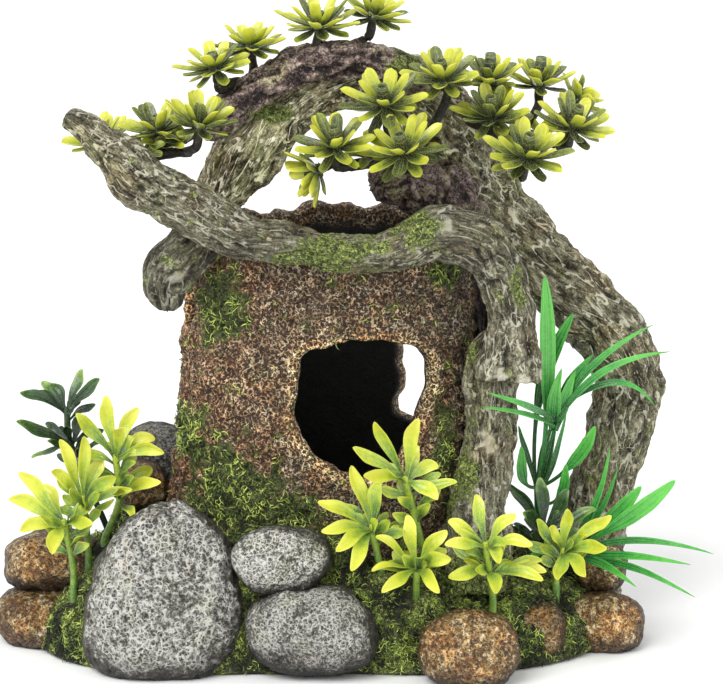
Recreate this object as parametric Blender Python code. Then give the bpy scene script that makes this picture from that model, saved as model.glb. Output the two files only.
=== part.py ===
"""Resin cave ornament for a pond or an aquarium.

A hollow stump with a doorway stands on a mossy base between loose stones. Driftwood roots lean
on it, and soft plastic foliage is pushed into the resin. Sizes are in millimetres and become
metres where a mesh is made. X is to the right, Y goes away from the viewer, Z is up, and the
origin is on the underside of the base, below the middle of the stump.
"""

import bpy
import math
from mathutils import Vector, noise

MM = 0.001
GAP = 0.3

STUMP_FLOOR = 24.3
STUMP_WALL = 4.6
STUMP_SIDES = 32
BASE_SIDES = 40
PEG_RADIUS = 1.1
PEG_LENGTH = 4.0
SOCKET_DEPTH = 5.0
SOCKET_MOUTH = 2.0
TWIG_PEG = 0.85
WHORL_BORE = 1.25
WHORL_HUB = 2.2

for old in list(bpy.data.objects):
    bpy.data.objects.remove(old)


# ---------------------------------------------------------------- helpers

def material(name, rgb, rough):
    made = bpy.data.materials.new(name)
    made.use_nodes = True
    shader = made.node_tree.nodes["Principled BSDF"]
    shader.inputs["Base Color"].default_value = (rgb[0], rgb[1], rgb[2], 1.0)
    shader.inputs["Roughness"].default_value = rough
    made.diffuse_color = (rgb[0], rgb[1], rgb[2], 1.0)
    return made


MOSS = ((0.10, 0.14, 0.04), 0.9)
BARK = ((0.22, 0.12, 0.05), 0.8)
DRIFTWOOD = ((0.26, 0.26, 0.19), 0.75)
DARK_BARK = ((0.12, 0.08, 0.08), 0.85)
GREY = ((0.24, 0.25, 0.24), 0.7)
BROWN = ((0.19, 0.12, 0.05), 0.7)
TWIG = ((0.05, 0.05, 0.04), 0.6)
LIME = ((0.50, 0.60, 0.06), 0.3)
DARK_LEAF = ((0.08, 0.17, 0.06), 0.35)
GRASS = ((0.05, 0.40, 0.09), 0.25)


def make(name, points, faces, look):
    """An object from points in millimetres. Quads are split one way, so that copies match."""
    split = []
    for face in faces:
        if len(face) == 4:
            split += [(face[0], face[1], face[2]), (face[0], face[2], face[3])]
        else:
            split.append(face)
    faces = split
    mesh = bpy.data.meshes.new(name)
    mesh.from_pydata([tuple(c * MM for c in p) for p in points], [], faces)
    mesh.update()
    obj = bpy.data.objects.new(name, mesh)
    bpy.context.scene.collection.objects.link(obj)
    if look is not None:
        mesh.materials.append(material(name, look[0], look[1]))
    return obj


def helper(obj):
    obj.hide_render = True
    obj.display_type = "WIRE"
    return obj


def grown_copy(obj, gap):
    """A hidden copy of a piece, larger all round by the gap."""
    mesh = obj.data.copy()
    mesh.update()
    moved = [v.co + v.normal * gap * MM for v in mesh.vertices]
    for v, co in zip(mesh.vertices, moved):
        v.co = co
    copy = bpy.data.objects.new(obj.name + "_clearance", mesh)
    bpy.context.scene.collection.objects.link(copy)
    return helper(copy)


GROWN = {}


def boolean(target, other, operation):
    step = target.modifiers.new(operation.lower() + "_" + other.name, "BOOLEAN")
    step.operation = operation
    step.solver = "EXACT"
    step.object = other


def carve(target, others):
    """Cuts room for each neighbour out of the target, with the contact gap."""
    for other in others:
        if other.name not in GROWN:
            GROWN[other.name] = grown_copy(other, GAP)
        boolean(target, GROWN[other.name], "DIFFERENCE")


def spline(stations, t):
    """The station at t along a Catmull-Rom curve, and the way it runs there."""
    last = len(stations) - 1
    i = min(int(t), last - 1)
    u = t - i
    p1 = stations[i]
    p2 = stations[i + 1]
    p0 = stations[i - 1] if i > 0 else [2 * a - b for a, b in zip(p1, p2)]
    p3 = stations[i + 2] if i + 2 <= last else [2 * b - a for a, b in zip(p1, p2)]
    place = []
    slope = []
    for a, b, c, d in zip(p0, p1, p2, p3):
        k1 = (c - a) / 2
        k2 = a - 2.5 * b + 2 * c - d / 2
        k3 = (d - a) / 2 + 1.5 * (b - c)
        place.append(b + u * (k1 + u * (k2 + u * k3)))
        slope.append(k1 + u * (2 * k2 + 3 * u * k3))
    return place, Vector(slope[:3])


def tube(rings, start, end):
    """Joins rings of points into a closed skin. A start or an end is 'flat', or a tip point."""
    points = [tuple(p) for ring in rings for p in ring]
    faces = []
    n = len(rings[0])
    for i in range(len(rings) - 1):
        for k in range(n):
            a = i * n + k
            b = i * n + (k + 1) % n
            faces.append((a, b, b + n, a + n))
    if start == "flat":
        faces.append(tuple(reversed(range(n))))
    else:
        points.append(tuple(start))
        tip = len(points) - 1
        faces += [(tip, (k + 1) % n, k) for k in range(n)]
    first = (len(rings) - 1) * n
    if end == "flat":
        faces.append(tuple(range(first, first + n)))
    else:
        points.append(tuple(end))
        tip = len(points) - 1
        faces += [(tip, first + k, first + (k + 1) % n) for k in range(n)]
    return points, faces


def limb(name, stations, look, sides=12, per=2, rough=0.07, ends=("round", "round"), seed=0):
    """A root or a branch. A station is x, y, z, half-width seen from the front, half-depth."""
    count = (len(stations) - 1) * per
    rings = []
    spots = []
    for i in range(count + 1):
        (x, y, z, a, b), way = spline(stations, i / per)
        spots.append((Vector((x, y, z)), way.normalized(), a, b))
    for side in (0, 1):
        if ends[side] != "round":
            continue
        centre, way, a, b = spots[-side]
        sign = 1 if side else -1
        for out, scale in ((0.45, 0.86), (0.78, 0.55)):
            extra = (centre + way * sign * out * a, way, a * scale, b * scale)
            spots.insert(len(spots) if side else 0, extra)
            if side:
                continue
    for centre, way, a, b in spots:
        depth = Vector((0, 1, 0))
        if abs(way.y) > 0.93:
            depth = Vector((0, 0, 1))
        depth = (depth - way * depth.dot(way)).normalized()
        width = depth.cross(way)
        ring = []
        for k in range(sides):
            turn = 2 * math.pi * k / sides
            out = width * math.cos(turn) * a + depth * math.sin(turn) * b
            spot = centre + out
            swell = 1 + rough * noise.noise(spot * 0.11 + Vector((seed, 0, 0))) * 2
            ring.append(centre + out * swell)
        rings.append(ring)
    caps = []
    for side in (0, 1):
        centre, way, a, b = spots[-side]
        if ends[side] == "round":
            caps.append(centre + way * (1 if side else -1) * a * 0.25)
        else:
            caps.append("flat")
    points, faces = tube(rings, caps[0], caps[1])
    return make(name, points, faces, look)


def stone(name, centre, axes, look, lean=0.0, taper=0.0, turn=0.0, seed=0.0, lump=0.10):
    """A rounded stone. What would reach below the base's underside is cut flat there."""
    rows = 8
    sides = 16
    c = Vector(centre)
    rings = []
    for i in range(1, rows):
        lat = -math.pi / 2 + math.pi * i / rows
        ring = []
        for k in range(sides):
            lon = 2 * math.pi * k / sides
            d = Vector((math.cos(lat) * math.cos(lon), math.cos(lat) * math.sin(lon), math.sin(lat)))
            ring.append(stone_point(c, d, axes, lean, taper, turn, seed, lump))
        rings.append(ring)
    low = stone_point(c, Vector((0, 0, -1)), axes, lean, taper, turn, seed, lump)
    high = stone_point(c, Vector((0, 0, 1)), axes, lean, taper, turn, seed, lump)
    points, faces = tube(rings, low, high)
    obj = make(name, points, faces, look)
    if low.z < 0:
        cut_flat(obj)
    return obj


def stone_point(c, d, axes, lean, taper, turn, seed, lump):
    power = 2.3
    size = (abs(d.x) ** power + abs(d.y) ** power + abs(d.z) ** power) ** (1 / power)
    d = d / size
    swell = 1 + lump * noise.noise(d * 1.1 + Vector((seed, seed * 0.7, 2.0)))
    side = 1 - taper * d.z
    p = Vector((d.x * axes[0] * side, d.y * axes[1] * side, d.z * axes[2])) * swell
    p.x += lean * p.z
    x = p.x * math.cos(turn) - p.y * math.sin(turn)
    y = p.x * math.sin(turn) + p.y * math.cos(turn)
    return c + Vector((x, y, p.z))


FLOORS = []


def cut_flat(obj):
    """Takes off what is below the underside of the base."""
    if not FLOORS:
        size = 200
        low = [(-size, -size, -60), (size, -size, -60), (size, size, -60), (-size, size, -60)]
        high = [(x, y, 0) for x, y, z in low]
        points, faces = tube([low, high], "flat", "flat")
        FLOORS.append(helper(make("ground_cutter", points, faces, None)))
    boolean(obj, FLOORS[0], "DIFFERENCE")


def leafy(name, stem, sides, bands, look, top=None, bore=None, spin=0.0, thick=0.9, pieces=4):
    """A moulded plastic plant: a stem with leaves drawn out of its side faces.

    The stem is rings of x, y, z, radius. Bands maps the number of a ring to the leaves that
    leave the stem between that ring and the next; a leaf is (tip, width, lift). A top of
    (wall, depth) hollows the end of the stem, and a bore of (radius, depth) its foot.
    """
    spots = [Vector(s[:3]) for s in stem]
    rings = []
    frames = []
    across = None
    for i, spot in enumerate(spots):
        before = spots[max(i - 1, 0)]
        after = spots[min(i + 1, len(spots) - 1)]
        way = (after - before).normalized()
        if across is None:
            pick = Vector((1, 0, 0)) if abs(way.x) < 0.8 else Vector((0, 1, 0))
            across = pick
        across = (across - way * across.dot(way)).normalized()
        other = way.cross(across)
        frames.append((way, across, other))
        ring = []
        for k in range(sides):
            turn = spin + 2 * math.pi * k / sides
            out = across * math.cos(turn) + other * math.sin(turn)
            ring.append(spot + out * stem[i][3])
        rings.append(ring)
    points = [p for ring in rings for p in ring]
    faces = []
    for i in range(len(rings) - 1):
        leaves = assign(rings, i, sides, bands.get(i, []))
        for k in range(sides):
            a = i * sides + k
            b = i * sides + (k + 1) % sides
            quad = (a, b, b + sides, a + sides)
            if k in leaves:
                leaf(points, faces, quad, frames[i][0], leaves[k], thick, pieces)
            else:
                faces.append(quad)
    n = sides
    first = (len(rings) - 1) * n
    hollow(points, faces, list(range(first, first + n)), spots[-1], frames[-1][0], top, stem[-1][3])
    foot = list(reversed(range(n)))
    hollow(points, faces, foot, spots[0], -frames[0][0], bore, stem[0][3])
    return make(name, points, faces, look)


def hollow(points, faces, loop, centre, way, hole, radius):
    """Closes a loop of the stem, with a blind hole in it if one is asked for."""
    if hole is None:
        faces.append(tuple(loop))
        return
    inner, depth = hole
    n = len(loop)
    rim = []
    floor = []
    for k in loop:
        out = (points[k] - centre) * (inner / radius)
        points.append(centre + out)
        rim.append(len(points) - 1)
    for k in loop:
        out = (points[k] - centre) * (inner / radius)
        points.append(centre + out - way * depth)
        floor.append(len(points) - 1)
    for k in range(n):
        j = (k + 1) % n
        faces.append((loop[k], loop[j], rim[j], rim[k]))
        faces.append((rim[k], rim[j], floor[j], floor[k]))
    faces.append(tuple(floor))


def assign(rings, i, sides, leaves):
    """Gives each leaf the free side face that looks most nearly its way."""
    taken = {}
    middle = sum(rings[i], Vector()) / sides
    for one in leaves:
        away = (Vector(one[0]) - middle).normalized()
        best = None
        for k in range(sides):
            if k in taken:
                continue
            j = (k + 1) % sides
            out = (rings[i][k] + rings[i][j]) / 2 - middle
            score = out.normalized().dot(away)
            if best is None or score > best[0]:
                best = (score, k)
        taken[best[1]] = one
    return taken


def leaf(points, faces, quad, axis, one, thick, pieces):
    tip, width, lift = Vector(one[0]), one[1], one[2]
    corners = [points[q] for q in quad]
    base = sum(corners, Vector()) / 4
    run = tip - base
    side = axis.cross(run)
    tangent = corners[1] - corners[0]
    if side.length < 0.25 * run.length:
        side = tangent
    side.normalize()
    if side.dot(tangent) < 0:
        side = -side
    bend = base + run * 0.45 + axis * lift
    before = list(quad)
    for s in range(1, pieces + 1):
        t = s / pieces
        place = base * (1 - t) ** 2 + bend * 2 * t * (1 - t) + tip * t * t
        way = ((bend - base) * (1 - t) + (tip - bend) * t).normalized()
        across = (side - way * side.dot(way)).normalized()
        up = way.cross(across)
        half = width / 2 * leaf_width(t)
        deep = thick / 2 * (1 - 0.45 * t)
        now = []
        for a, b in ((-1, -1), (1, -1), (1, 1), (-1, 1)):
            points.append(place + across * a * half + up * b * deep)
            now.append(len(points) - 1)
        for k in range(4):
            j = (k + 1) % 4
            faces.append((before[k], before[j], now[j], now[k]))
        before = now
    faces.append(tuple(before))


def leaf_width(t):
    """Share of the full width at t along a leaf: slim at the stem, widest past the middle."""
    return 0.30 + 0.70 * math.sin(math.pi * t ** 1.5) ** 0.8 if t < 0.999 else 0.30


# ---------------------------------------------------------------- base

GROUND = (
    (-2, 5, 38), (-22, 5, 38), (18, 5, 38), (-2, 24, 37), (-25, -27, 37), (0, -27, 39),
    (20, -27, 35), (-12, -34, 29), (10, -34, 28), (22, -34, 22), (38, -33, 18), (-10, -42, 10),
    (20, -42, 8), (0, -42, 11), (-46, -8, 37), (-52, 14, 37), (-45, 26, 34), (-66, -12, 29),
    (-58, -22, 22), (-70, 5, 26), (-80, -5, 14), (-86, -8, 6), (-20, 38, 30), (0, 42, 24),
    (26, 36, 26), (42, 25, 24), (42, -10, 30), (48, 5, 28), (57, -4, 23), (55, -20, 20),
    (65, -18, 16), (70, 10, 15), (80, 5, 8), (60, 24, 13), (-70, -17, 26), (-74, -23, 22),
    (64, -9, 19), (56, -2, 24), (42, -31, 17), (21, -36, 19), (11, -34, 26), (23, -31, 27),
)
OUTLINE = (80, 78, 66, 52, 48, 48, 50, 59, 74, 84, 82, 66, 49, 44, 43, 50, 62, 74)
BASE_CENTRE = (-2, 0)


def outline(turn):
    """Distance from the base's centre to its edge, in the direction of turn."""
    steps = len(OUTLINE)
    t = (turn / (2 * math.pi) * steps) % steps
    i = int(t)
    u = t - i
    a, b, c, d = (OUTLINE[(i + k) % steps] for k in (-1, 0, 1, 2))
    return b + u * ((c - a) / 2 + u * (a - 2.5 * b + 2 * c - d / 2 + u * ((d - a) / 2 + 1.5 * (b - c))))


def ground(x, y):
    """Height of the moss at x, y, by distance weighting between the levels."""
    total = 0
    weights = 0
    for gx, gy, gz in GROUND:
        w = 1 / ((x - gx) ** 2 + (y - gy) ** 2 + 4) ** 1.6
        total += w * gz
        weights += w
    return total / weights


def surface(x, y):
    """Height of the base's top at x, y: the moss falls away to a low edge."""
    away = math.hypot(x - BASE_CENTRE[0], y - BASE_CENTRE[1])
    turn = math.atan2(y - BASE_CENTRE[1], x - BASE_CENTRE[0])
    fade = max(0.0, min(1.0, (1.02 - away / outline(turn)) / 0.2))
    z = 5 + (ground(x, y) - 5) * fade ** 0.7
    return z + 1.2 * noise.noise(Vector((x, y, 3)) * 0.09)


def make_base():
    rings = []
    for share in (0.97, 0.89, 0.78, 0.65, 0.50, 0.30):
        ring = []
        for k in range(BASE_SIDES):
            turn = 2 * math.pi * k / BASE_SIDES
            r = outline(turn) * share
            x = BASE_CENTRE[0] + r * math.cos(turn)
            y = BASE_CENTRE[1] + r * math.sin(turn)
            ring.append((x, y, surface(x, y)))
        rings.append(ring)
    edge = []
    under = []
    for k in range(BASE_SIDES):
        turn = 2 * math.pi * k / BASE_SIDES
        r = outline(turn)
        edge.append((BASE_CENTRE[0] + r * math.cos(turn), BASE_CENTRE[1] + r * math.sin(turn), 2.2))
        r -= 1.2
        under.append((BASE_CENTRE[0] + r * math.cos(turn), BASE_CENTRE[1] + r * math.sin(turn), 0))
    top = (BASE_CENTRE[0], BASE_CENTRE[1], surface(*BASE_CENTRE))
    points, faces = tube([under, edge] + rings, "flat", top)
    return make("base_casting", points, faces, MOSS)


# ---------------------------------------------------------------- stump

SECTIONS = (
    (24.3, -4.5, 46.5, 34.0), (46, -3.6, 43.4, 32.0), (70, -3.2, 41.8, 31.0),
    (99, -2.6, 40.6, 30.0), (140, -2.4, 40.0, 29.5),
)
STUMP_Y = 5.0


def stump_section(z):
    """Centre, half-width and half-depth of the stump at height z."""
    for low, high in zip(SECTIONS, SECTIONS[1:]):
        if z <= high[0]:
            break
    u = (z - low[0]) / (high[0] - low[0])
    return [a + (b - a) * u for a, b in zip(low[1:], high[1:])]


def stump_wall(turn, z, inset):
    centre, a, b = stump_section(z)
    power = 2.25
    c = math.cos(turn)
    s = math.sin(turn)
    size = (abs(c) ** power + abs(s) ** power) ** (-1 / power)
    x = centre + (a - inset) * size * c
    y = STUMP_Y + (b - inset) * size * s
    dent = 0.9 * noise.noise(Vector((c * 1.6, s * 1.6, z * 0.03)))
    return Vector((x + dent * c, y + dent * s, z))


def rim(turn):
    """Height of the broken rim."""
    shoulder = math.exp(-((turn - math.radians(28)) / math.radians(17)) ** 2)
    ragged = 1.6 * math.sin(turn * 5 + 0.6) + 1.2 * math.sin(turn * 11 + 2)
    return 115.5 + 8 * shoulder + ragged


def make_stump():
    shares = (0, 0.14, 0.30, 0.48, 0.66, 0.84, 1)
    outer = []
    inner = []
    for share in shares:
        ring_out = []
        ring_in = []
        for k in range(STUMP_SIDES):
            turn = 2 * math.pi * k / STUMP_SIDES
            z = STUMP_FLOOR + (rim(turn) - STUMP_FLOOR) * share
            ring_out.append(stump_wall(turn, z, 0))
            ring_in.append(stump_wall(turn, z, STUMP_WALL))
        outer.append(ring_out)
        inner.append(ring_in)
    rings = outer + list(reversed(inner))
    points = [p for ring in rings for p in ring]
    n = STUMP_SIDES
    faces = []
    for i in range(len(rings)):
        j = (i + 1) % len(rings)
        for k in range(n):
            m = (k + 1) % n
            faces.append((i * n + k, i * n + m, j * n + m, j * n + k))
    return make("stump_shell", points, faces, BARK)


def prism(name, shape, origin, across, along, start, end):
    """A cutter with a flat outline of (across, up) points, drawn along a direction."""
    across = Vector(across)
    along = Vector(along)
    origin = Vector(origin)
    rings = []
    for reach in (end, start):
        rings.append([origin + across * a + Vector((0, 0, b)) + along * reach for a, b in shape])
    points, faces = tube(rings, "flat", "flat")
    return helper(make(name, points, faces, None))


DOOR = (
    (-12.2, 68.8), (-9.5, 61.6), (-4.8, 56.6), (1.5, 53), (6.5, 51.4), (11.1, 52.2), (15.6, 56.8),
    (18.2, 62.6), (20.6, 68.8), (22.6, 74.6), (23.5, 80.1), (22.2, 85), (18.6, 88.6), (10.6, 90.4),
    (2.9, 90.8), (-4.7, 88.6), (-8.4, 87.6), (-10.7, 84.3), (-11.2, 76.4),
)
WINDOW_TURN = math.radians(55)
WINDOW = (
    (-8.8, -8), (-10.2, -13.6), (-9.6, -18), (-1, -19), (8, -18.4), (14, -10), (16, 2), (13, 12),
    (5, 17), (-3, 15), (-7.8, 9), (-9, 1),
)
KNOTHOLE = ((-5, -1), (-4, -5.5), (0, -7), (4, -5), (5.4, 0), (4, 5), (0, 7), (-4, 5))

base = make_base()
stump = make_stump()
door = prism("door_cutter", DOOR, (0, 0, 0), (1, 0, 0), (0, 1, 0), -60, -8)
toward = (math.sin(WINDOW_TURN), math.cos(WINDOW_TURN), 0)
beside = (math.cos(WINDOW_TURN), -math.sin(WINDOW_TURN), 0)
window = prism("window_cutter", WINDOW, (-2.5, 5, 73), beside, toward, 12, 70)
knothole = prism("knothole_cutter", KNOTHOLE, (-20, -2, 96.4), (0, 1, 0), (-1, 0, 0), 5, 50)
for cutter in (door, window, knothole):
    boolean(stump, cutter, "DIFFERENCE")

# ---------------------------------------------------------------- driftwood

arch_root = limb("arch_root", (
    (-34.9, -6, 125.2, 6.4, 6), (-31.1, -4, 131, 7.6, 7), (-25.9, -2, 138.2, 8.6, 8),
    (-19.1, 2, 146, 8.4, 7.6), (-10.9, 5, 152.6, 7.4, 7), (1.5, 8, 157.6, 6.4, 6.6),
    (15.3, 10, 157.4, 6.8, 7), (24.5, 13, 150.5, 8.4, 8.6), (30.8, 17, 138.8, 12, 10),
    (38.1, 20, 124.8, 11.6, 10), (48.8, 21, 110.9, 9.8, 9.4), (62.2, 21, 96.2, 9.5, 9),
    (74.9, 19, 84.1, 9.5, 9), (81.3, 17, 70.6, 9.7, 9), (79.8, 15, 56.9, 9.4, 9),
    (75.9, 14, 43.6, 8.6, 8.6), (72.6, 12, 30.6, 8.6, 8.6), (70.7, 10, 16.1, 9, 9),
    (70.5, 10, 8, 9.4, 9.4),
), DRIFTWOOD, sides=12, per=2, rough=0.09, ends=("round", "flat"), seed=1)

front_branch = limb("front_branch", (
    (-72.5, -24, 152.7, 3.4, 3.4), (-66.3, -24, 147.6, 4.8, 4.8), (-61.6, -24, 143.5, 5.8, 5.6),
    (-56.3, -24, 138.1, 7, 6.4), (-50, -24, 133.2, 6.6, 6.2), (-39.8, -25, 127.4, 6.8, 6),
    (-27.7, -27, 121.4, 5.9, 5.6), (-13, -29, 119, 4.9, 5), (1.6, -30, 116.6, 4.9, 5),
    (14.9, -31, 118, 5.2, 5.2), (26.3, -29, 122, 7.2, 6.4), (36.4, -26, 119.4, 7.2, 6.6),
    (43.4, -22, 110.7, 6.6, 6.4), (46.6, -21, 100.1, 6.3, 6.2), (47, -21, 89.1, 7.3, 6.8),
    (46.6, -22, 79.5, 9, 7.6),
), DRIFTWOOD, sides=12, per=2, rough=0.09, ends=("round", "flat"), seed=4)

lower_front_root = limb("lower_front_root", (
    (42.1, -13, 86, 5.6, 5), (41.8, -14, 77, 6.6, 6), (41.6, -14.5, 68.4, 6.9, 6.4),
    (40.8, -16, 57.4, 6.6, 6.4), (39.3, -19, 47.1, 7.4, 6.8), (38.1, -22, 38.5, 8.6, 7.6),
    (37.6, -24, 29, 9.8, 8.6), (37.4, -24.6, 20, 10.6, 9.2),
), DRIFTWOOD, sides=12, per=2, rough=0.09, ends=("round", "flat"), seed=7)

left_root_knob = limb("left_root_knob", (
    (-33.5, -12.5, 119.6, 5.4, 5.4), (-38, -15.5, 117.2, 6.2, 6), (-42.4, -16.5, 113.6, 7, 6.4),
    (-46.2, -16, 109.4, 7.2, 6.4), (-48.4, -15.6, 104.8, 6.4, 5.8), (-48.2, -15.4, 101, 4.4, 4.4),
), DRIFTWOOD, sides=12, per=2, rough=0.09, seed=9)

bark_strip = limb("bark_strip", (
    (-36, -7, 146.5, 3.6, 4), (-30.4, -6, 152.2, 4.2, 4.6), (-21.6, -4, 158.6, 4.8, 5),
    (-10.8, -1, 163.2, 5, 5), (1.5, 0, 164.6, 4.8, 5), (13, 2, 162.6, 4.4, 4.6),
    (21, 4, 158.4, 3.6, 4),
), DARK_BARK, sides=12, per=2, rough=0.14, seed=12)

shoulder_burl = limb("shoulder_burl", (
    (12.5, 2, 129, 4.4, 5), (17.5, 6, 129.5, 7.4, 7.6), (24.5, 8, 126.5, 9.6, 9.2),
    (30.5, 6, 119.5, 8.8, 8.6), (34.5, 4, 110.5, 7.4, 7.4), (38.6, 2, 101, 5.8, 6.4),
    (40.8, 0.6, 92, 4.8, 5.4), (41.4, 0, 84.5, 3.6, 4.2),
), DARK_BARK, sides=12, per=2, rough=0.16, seed=15)

# ---------------------------------------------------------------- stones

big_boulder = stone("big_boulder", (-48.6, -35, 22.2), (21.2, 16.6, 27.6), GREY, 0.05, 0.28, 0.0, 1, 0.07)
stone_upper_left = stone("stone_upper_left", (-81, -5, 21.8), (14.6, 12, 9), BROWN, 0, 0, 0.1, 2)
stone_lower_left = stone("stone_lower_left", (-82.2, -8, 6.4), (15.6, 13, 9.6), BROWN, 0, 0, 0.0, 3)
stone_mid_grey = stone("stone_mid_grey", (-16.2, -37.4, 31.4), (14, 8.8, 9.6), GREY, 0, 0, 0.06, 4)
stone_front_grey = stone("stone_front_grey", (-8.2, -44, 12.6), (18.4, 11.6, 12.4), GREY, 0, 0.05, 0.0, 5, 0.08)
stone_front_brown = stone("stone_front_brown", (35.4, -48, 9.4), (14, 10.6, 11.4), BROWN, 0, 0.1, 0.0, 6)
stone_right_brown = stone("stone_right_brown", (73.2, -15, 7), (12, 10.4, 10.2), BROWN, 0, 0, 0.0, 7)
stone_small_brown = stone("stone_small_brown", (54, -29.4, 7.8), (9.4, 7.6, 9.2), BROWN, 0, 0, 0.0, 8)
stone_back_left = stone("stone_back_left", (-52, 25, 44.5), (10.4, 9.6, 9), GREY, 0, 0, 0.0, 9)
pebble_back_left = stone("pebble_back_left", (-56.4, 8, 40.2), (7.8, 8, 7.4), BROWN, 0, 0, 0.0, 10)
pebble_right = stone("pebble_right", (73.6, -5, 19.4), (7.4, 6.2, 7.6), BROWN, 0, 0, 0.0, 11)

STONES = [
    big_boulder, stone_upper_left, stone_lower_left, stone_mid_grey, stone_front_grey,
    stone_front_brown, stone_right_brown, stone_small_brown, stone_back_left, pebble_back_left,
    pebble_right,
]

# ---------------------------------------------------------------- twigs and treetop leaves

WHORLS = {
    "front_1": ((12.2, -13.6, 155), (-0.12, -0.46, 0.88), 12, 9, 0.28, 0.3),
    "front_2": ((-1.4, -20.4, 144.3), (-0.06, -0.40, 0.92), 11.4, 9, 0.30, 0.45),
    "front_3": ((17.4, -23, 143.6), (-0.20, -0.46, 0.87), 12.4, 9, 0.28, 0.1),
    "front_4": ((28.4, -6.2, 160.6), (-0.14, -0.30, 0.94), 10.8, 9, 0.36, 0.1),
    "front_5": ((-6.5, -13, 136), (-0.75, -0.30, -0.30), 9.6, 6, 0.55, 0.1),
    "right_1": ((41.6, 2, 158.4), (0.0, -0.05, 1.0), 9, 8, 0.42, 0.3),
    "right_2": ((55.4, 9, 156), (0.06, -0.05, 1.0), 9.6, 8, 0.42, 0.2),
    "right_3": ((42.2, -6.4, 149.9), (-0.10, -0.32, 0.94), 11, 9, 0.36, 0.1),
    "right_4": ((51, -17.6, 141), (0.12, -0.42, 0.9), 12.2, 10, 0.34, 0.15),
    "right_5": ((64.2, -4, 146.3), (0.24, -0.34, 0.9), 11.6, 9, 0.34, 0.2),
    "right_6": ((66.4, 13, 150.4), (0.72, 0.12, 0.66), 8.4, 7, 0.40, 0.0),
    "top_left_1": ((-34.4, -9, 164.4), (-0.22, -0.1, 0.97), 10.6, 9, 0.16, 0.0),
    "top_left_2": ((-24.8, 1, 168.4), (-0.1, 0.0, 0.99), 10.2, 9, 0.20, 0.2),
    "top_1": ((-6, -2, 174.6), (0.0, -0.06, 1.0), 11.8, 9, 0.34, 0.0),
    "top_2": ((9.4, 2.4, 176.6), (0.30, -0.06, 0.95), 10.6, 9, 0.34, 0.15),
    "left_1": ((-38.4, -22, 150.8), (0.16, -0.20, 0.96), 11, 9, 0.50, 0.1),
    "left_2": ((-50.2, -13.4, 147.6), (-0.08, -0.16, 0.98), 10.4, 8, 0.30, 0.0),
    "left_3": ((-66.5, -5.5, 143), (-0.18, -0.16, 0.97), 10.6, 8, 0.34, 0.2),
}
HUB_TOP = {"front_1": 6.6, "front_2": 7, "front_3": 6.8, "front_4": 6, "right_1": 8, "right_2": 8,
           "right_3": 6.8, "right_4": 8, "right_5": 7.4, "front_5": 3.4, "left_1": 4.6}
LEAF_WIDTH = 3.7


def whorl(key):
    """A star of spoon-shaped leaves round a tube, moulded as one piece and pushed on a peg."""
    centre, axis, reach, count, cup, spin = WHORLS[key]
    c = Vector(centre)
    up = Vector(axis).normalized()
    pick = Vector((1, 0, 0)) if abs(up.x) < 0.8 else Vector((0, 1, 0))
    across = (pick - up * pick.dot(up)).normalized()
    other = up.cross(across)
    high = HUB_TOP.get(key, 4.4)
    stem = []
    for at, r in ((-1.3, 1.9), (-0.5, WHORL_HUB), (0.6, WHORL_HUB), (high * 0.55, 1.75), (high, 1.45)):
        p = c + up * at
        stem.append((p.x, p.y, p.z, r))
    leaves = []
    for k in range(count):
        turn = spin + 2 * math.pi * (k + 0.5) / count
        out = across * math.cos(turn) + other * math.sin(turn)
        long = reach * (1 + 0.07 * math.sin(k * 2.4 + reach))
        rise = cup + 0.10 * math.sin(k * 3.7 + spin)
        tip = c + out * long * math.cos(rise) + up * long * math.sin(rise)
        leaves.append((tip, LEAF_WIDTH, -0.10 * long))
    return leafy("leaf_whorl_" + key, stem, count, {1: leaves}, LIME, top=(1.0, 1.6),
                 bore=(WHORL_BORE, 2.4), spin=spin, thick=1.0, pieces=3)


def peg_for(key):
    """The last stations of a twig, which end in the whorl's bore."""
    c = Vector(WHORLS[key][0])
    up = Vector(WHORLS[key][1]).normalized()
    stations = []
    for at, r in ((-6.5, 1.3), (-2.4, 1.25), (-1.7, 1.2), (-1.55, TWIG_PEG), (0.7, TWIG_PEG)):
        p = c + up * at
        stations.append((p.x, p.y, p.z, r, r))
    return stations


def straight(name, stations, look, extra=0.0, sides=6):
    """A twig: a chain of round sections through the stations, larger all round by extra."""
    rings = []
    across = None
    spots = [Vector(s[:3]) for s in stations]
    spots[0] = spots[0] - (spots[1] - spots[0]).normalized() * extra
    spots[-1] = spots[-1] + (spots[-1] - spots[-2]).normalized() * extra
    for i, spot in enumerate(spots):
        way = (spots[min(i + 1, len(spots) - 1)] - spots[max(i - 1, 0)]).normalized()
        if across is None:
            across = Vector((1, 0, 0)) if abs(way.x) < 0.8 else Vector((0, 1, 0))
        across = (across - way * across.dot(way)).normalized()
        other = way.cross(across)
        ring = []
        for k in range(sides):
            turn = 2 * math.pi * k / sides
            out = across * math.cos(turn) + other * math.sin(turn)
            ring.append(spot + out * (stations[i][3] + extra))
        rings.append(ring)
    points, faces = tube(rings, "flat", "flat")
    return make(name, points, faces, look)


def twig(name, trunk, shoots):
    """A forked twig. Shoots maps a whorl to the point of the trunk that its fork starts from."""
    made = []
    for label, look, extra in (("", TWIG, 0.0), ("_clearance", None, GAP)):
        body = straight(name + label, trunk, look, extra)
        for key, start in shoots.items():
            stations = [start] + peg_for(key)
            fork = helper(straight(name + "_fork_" + key + label, stations, None, extra))
            boolean(body, fork, "UNION")
        made.append(body)
    GROWN[name] = helper(made[1])
    return made[0]


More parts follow.
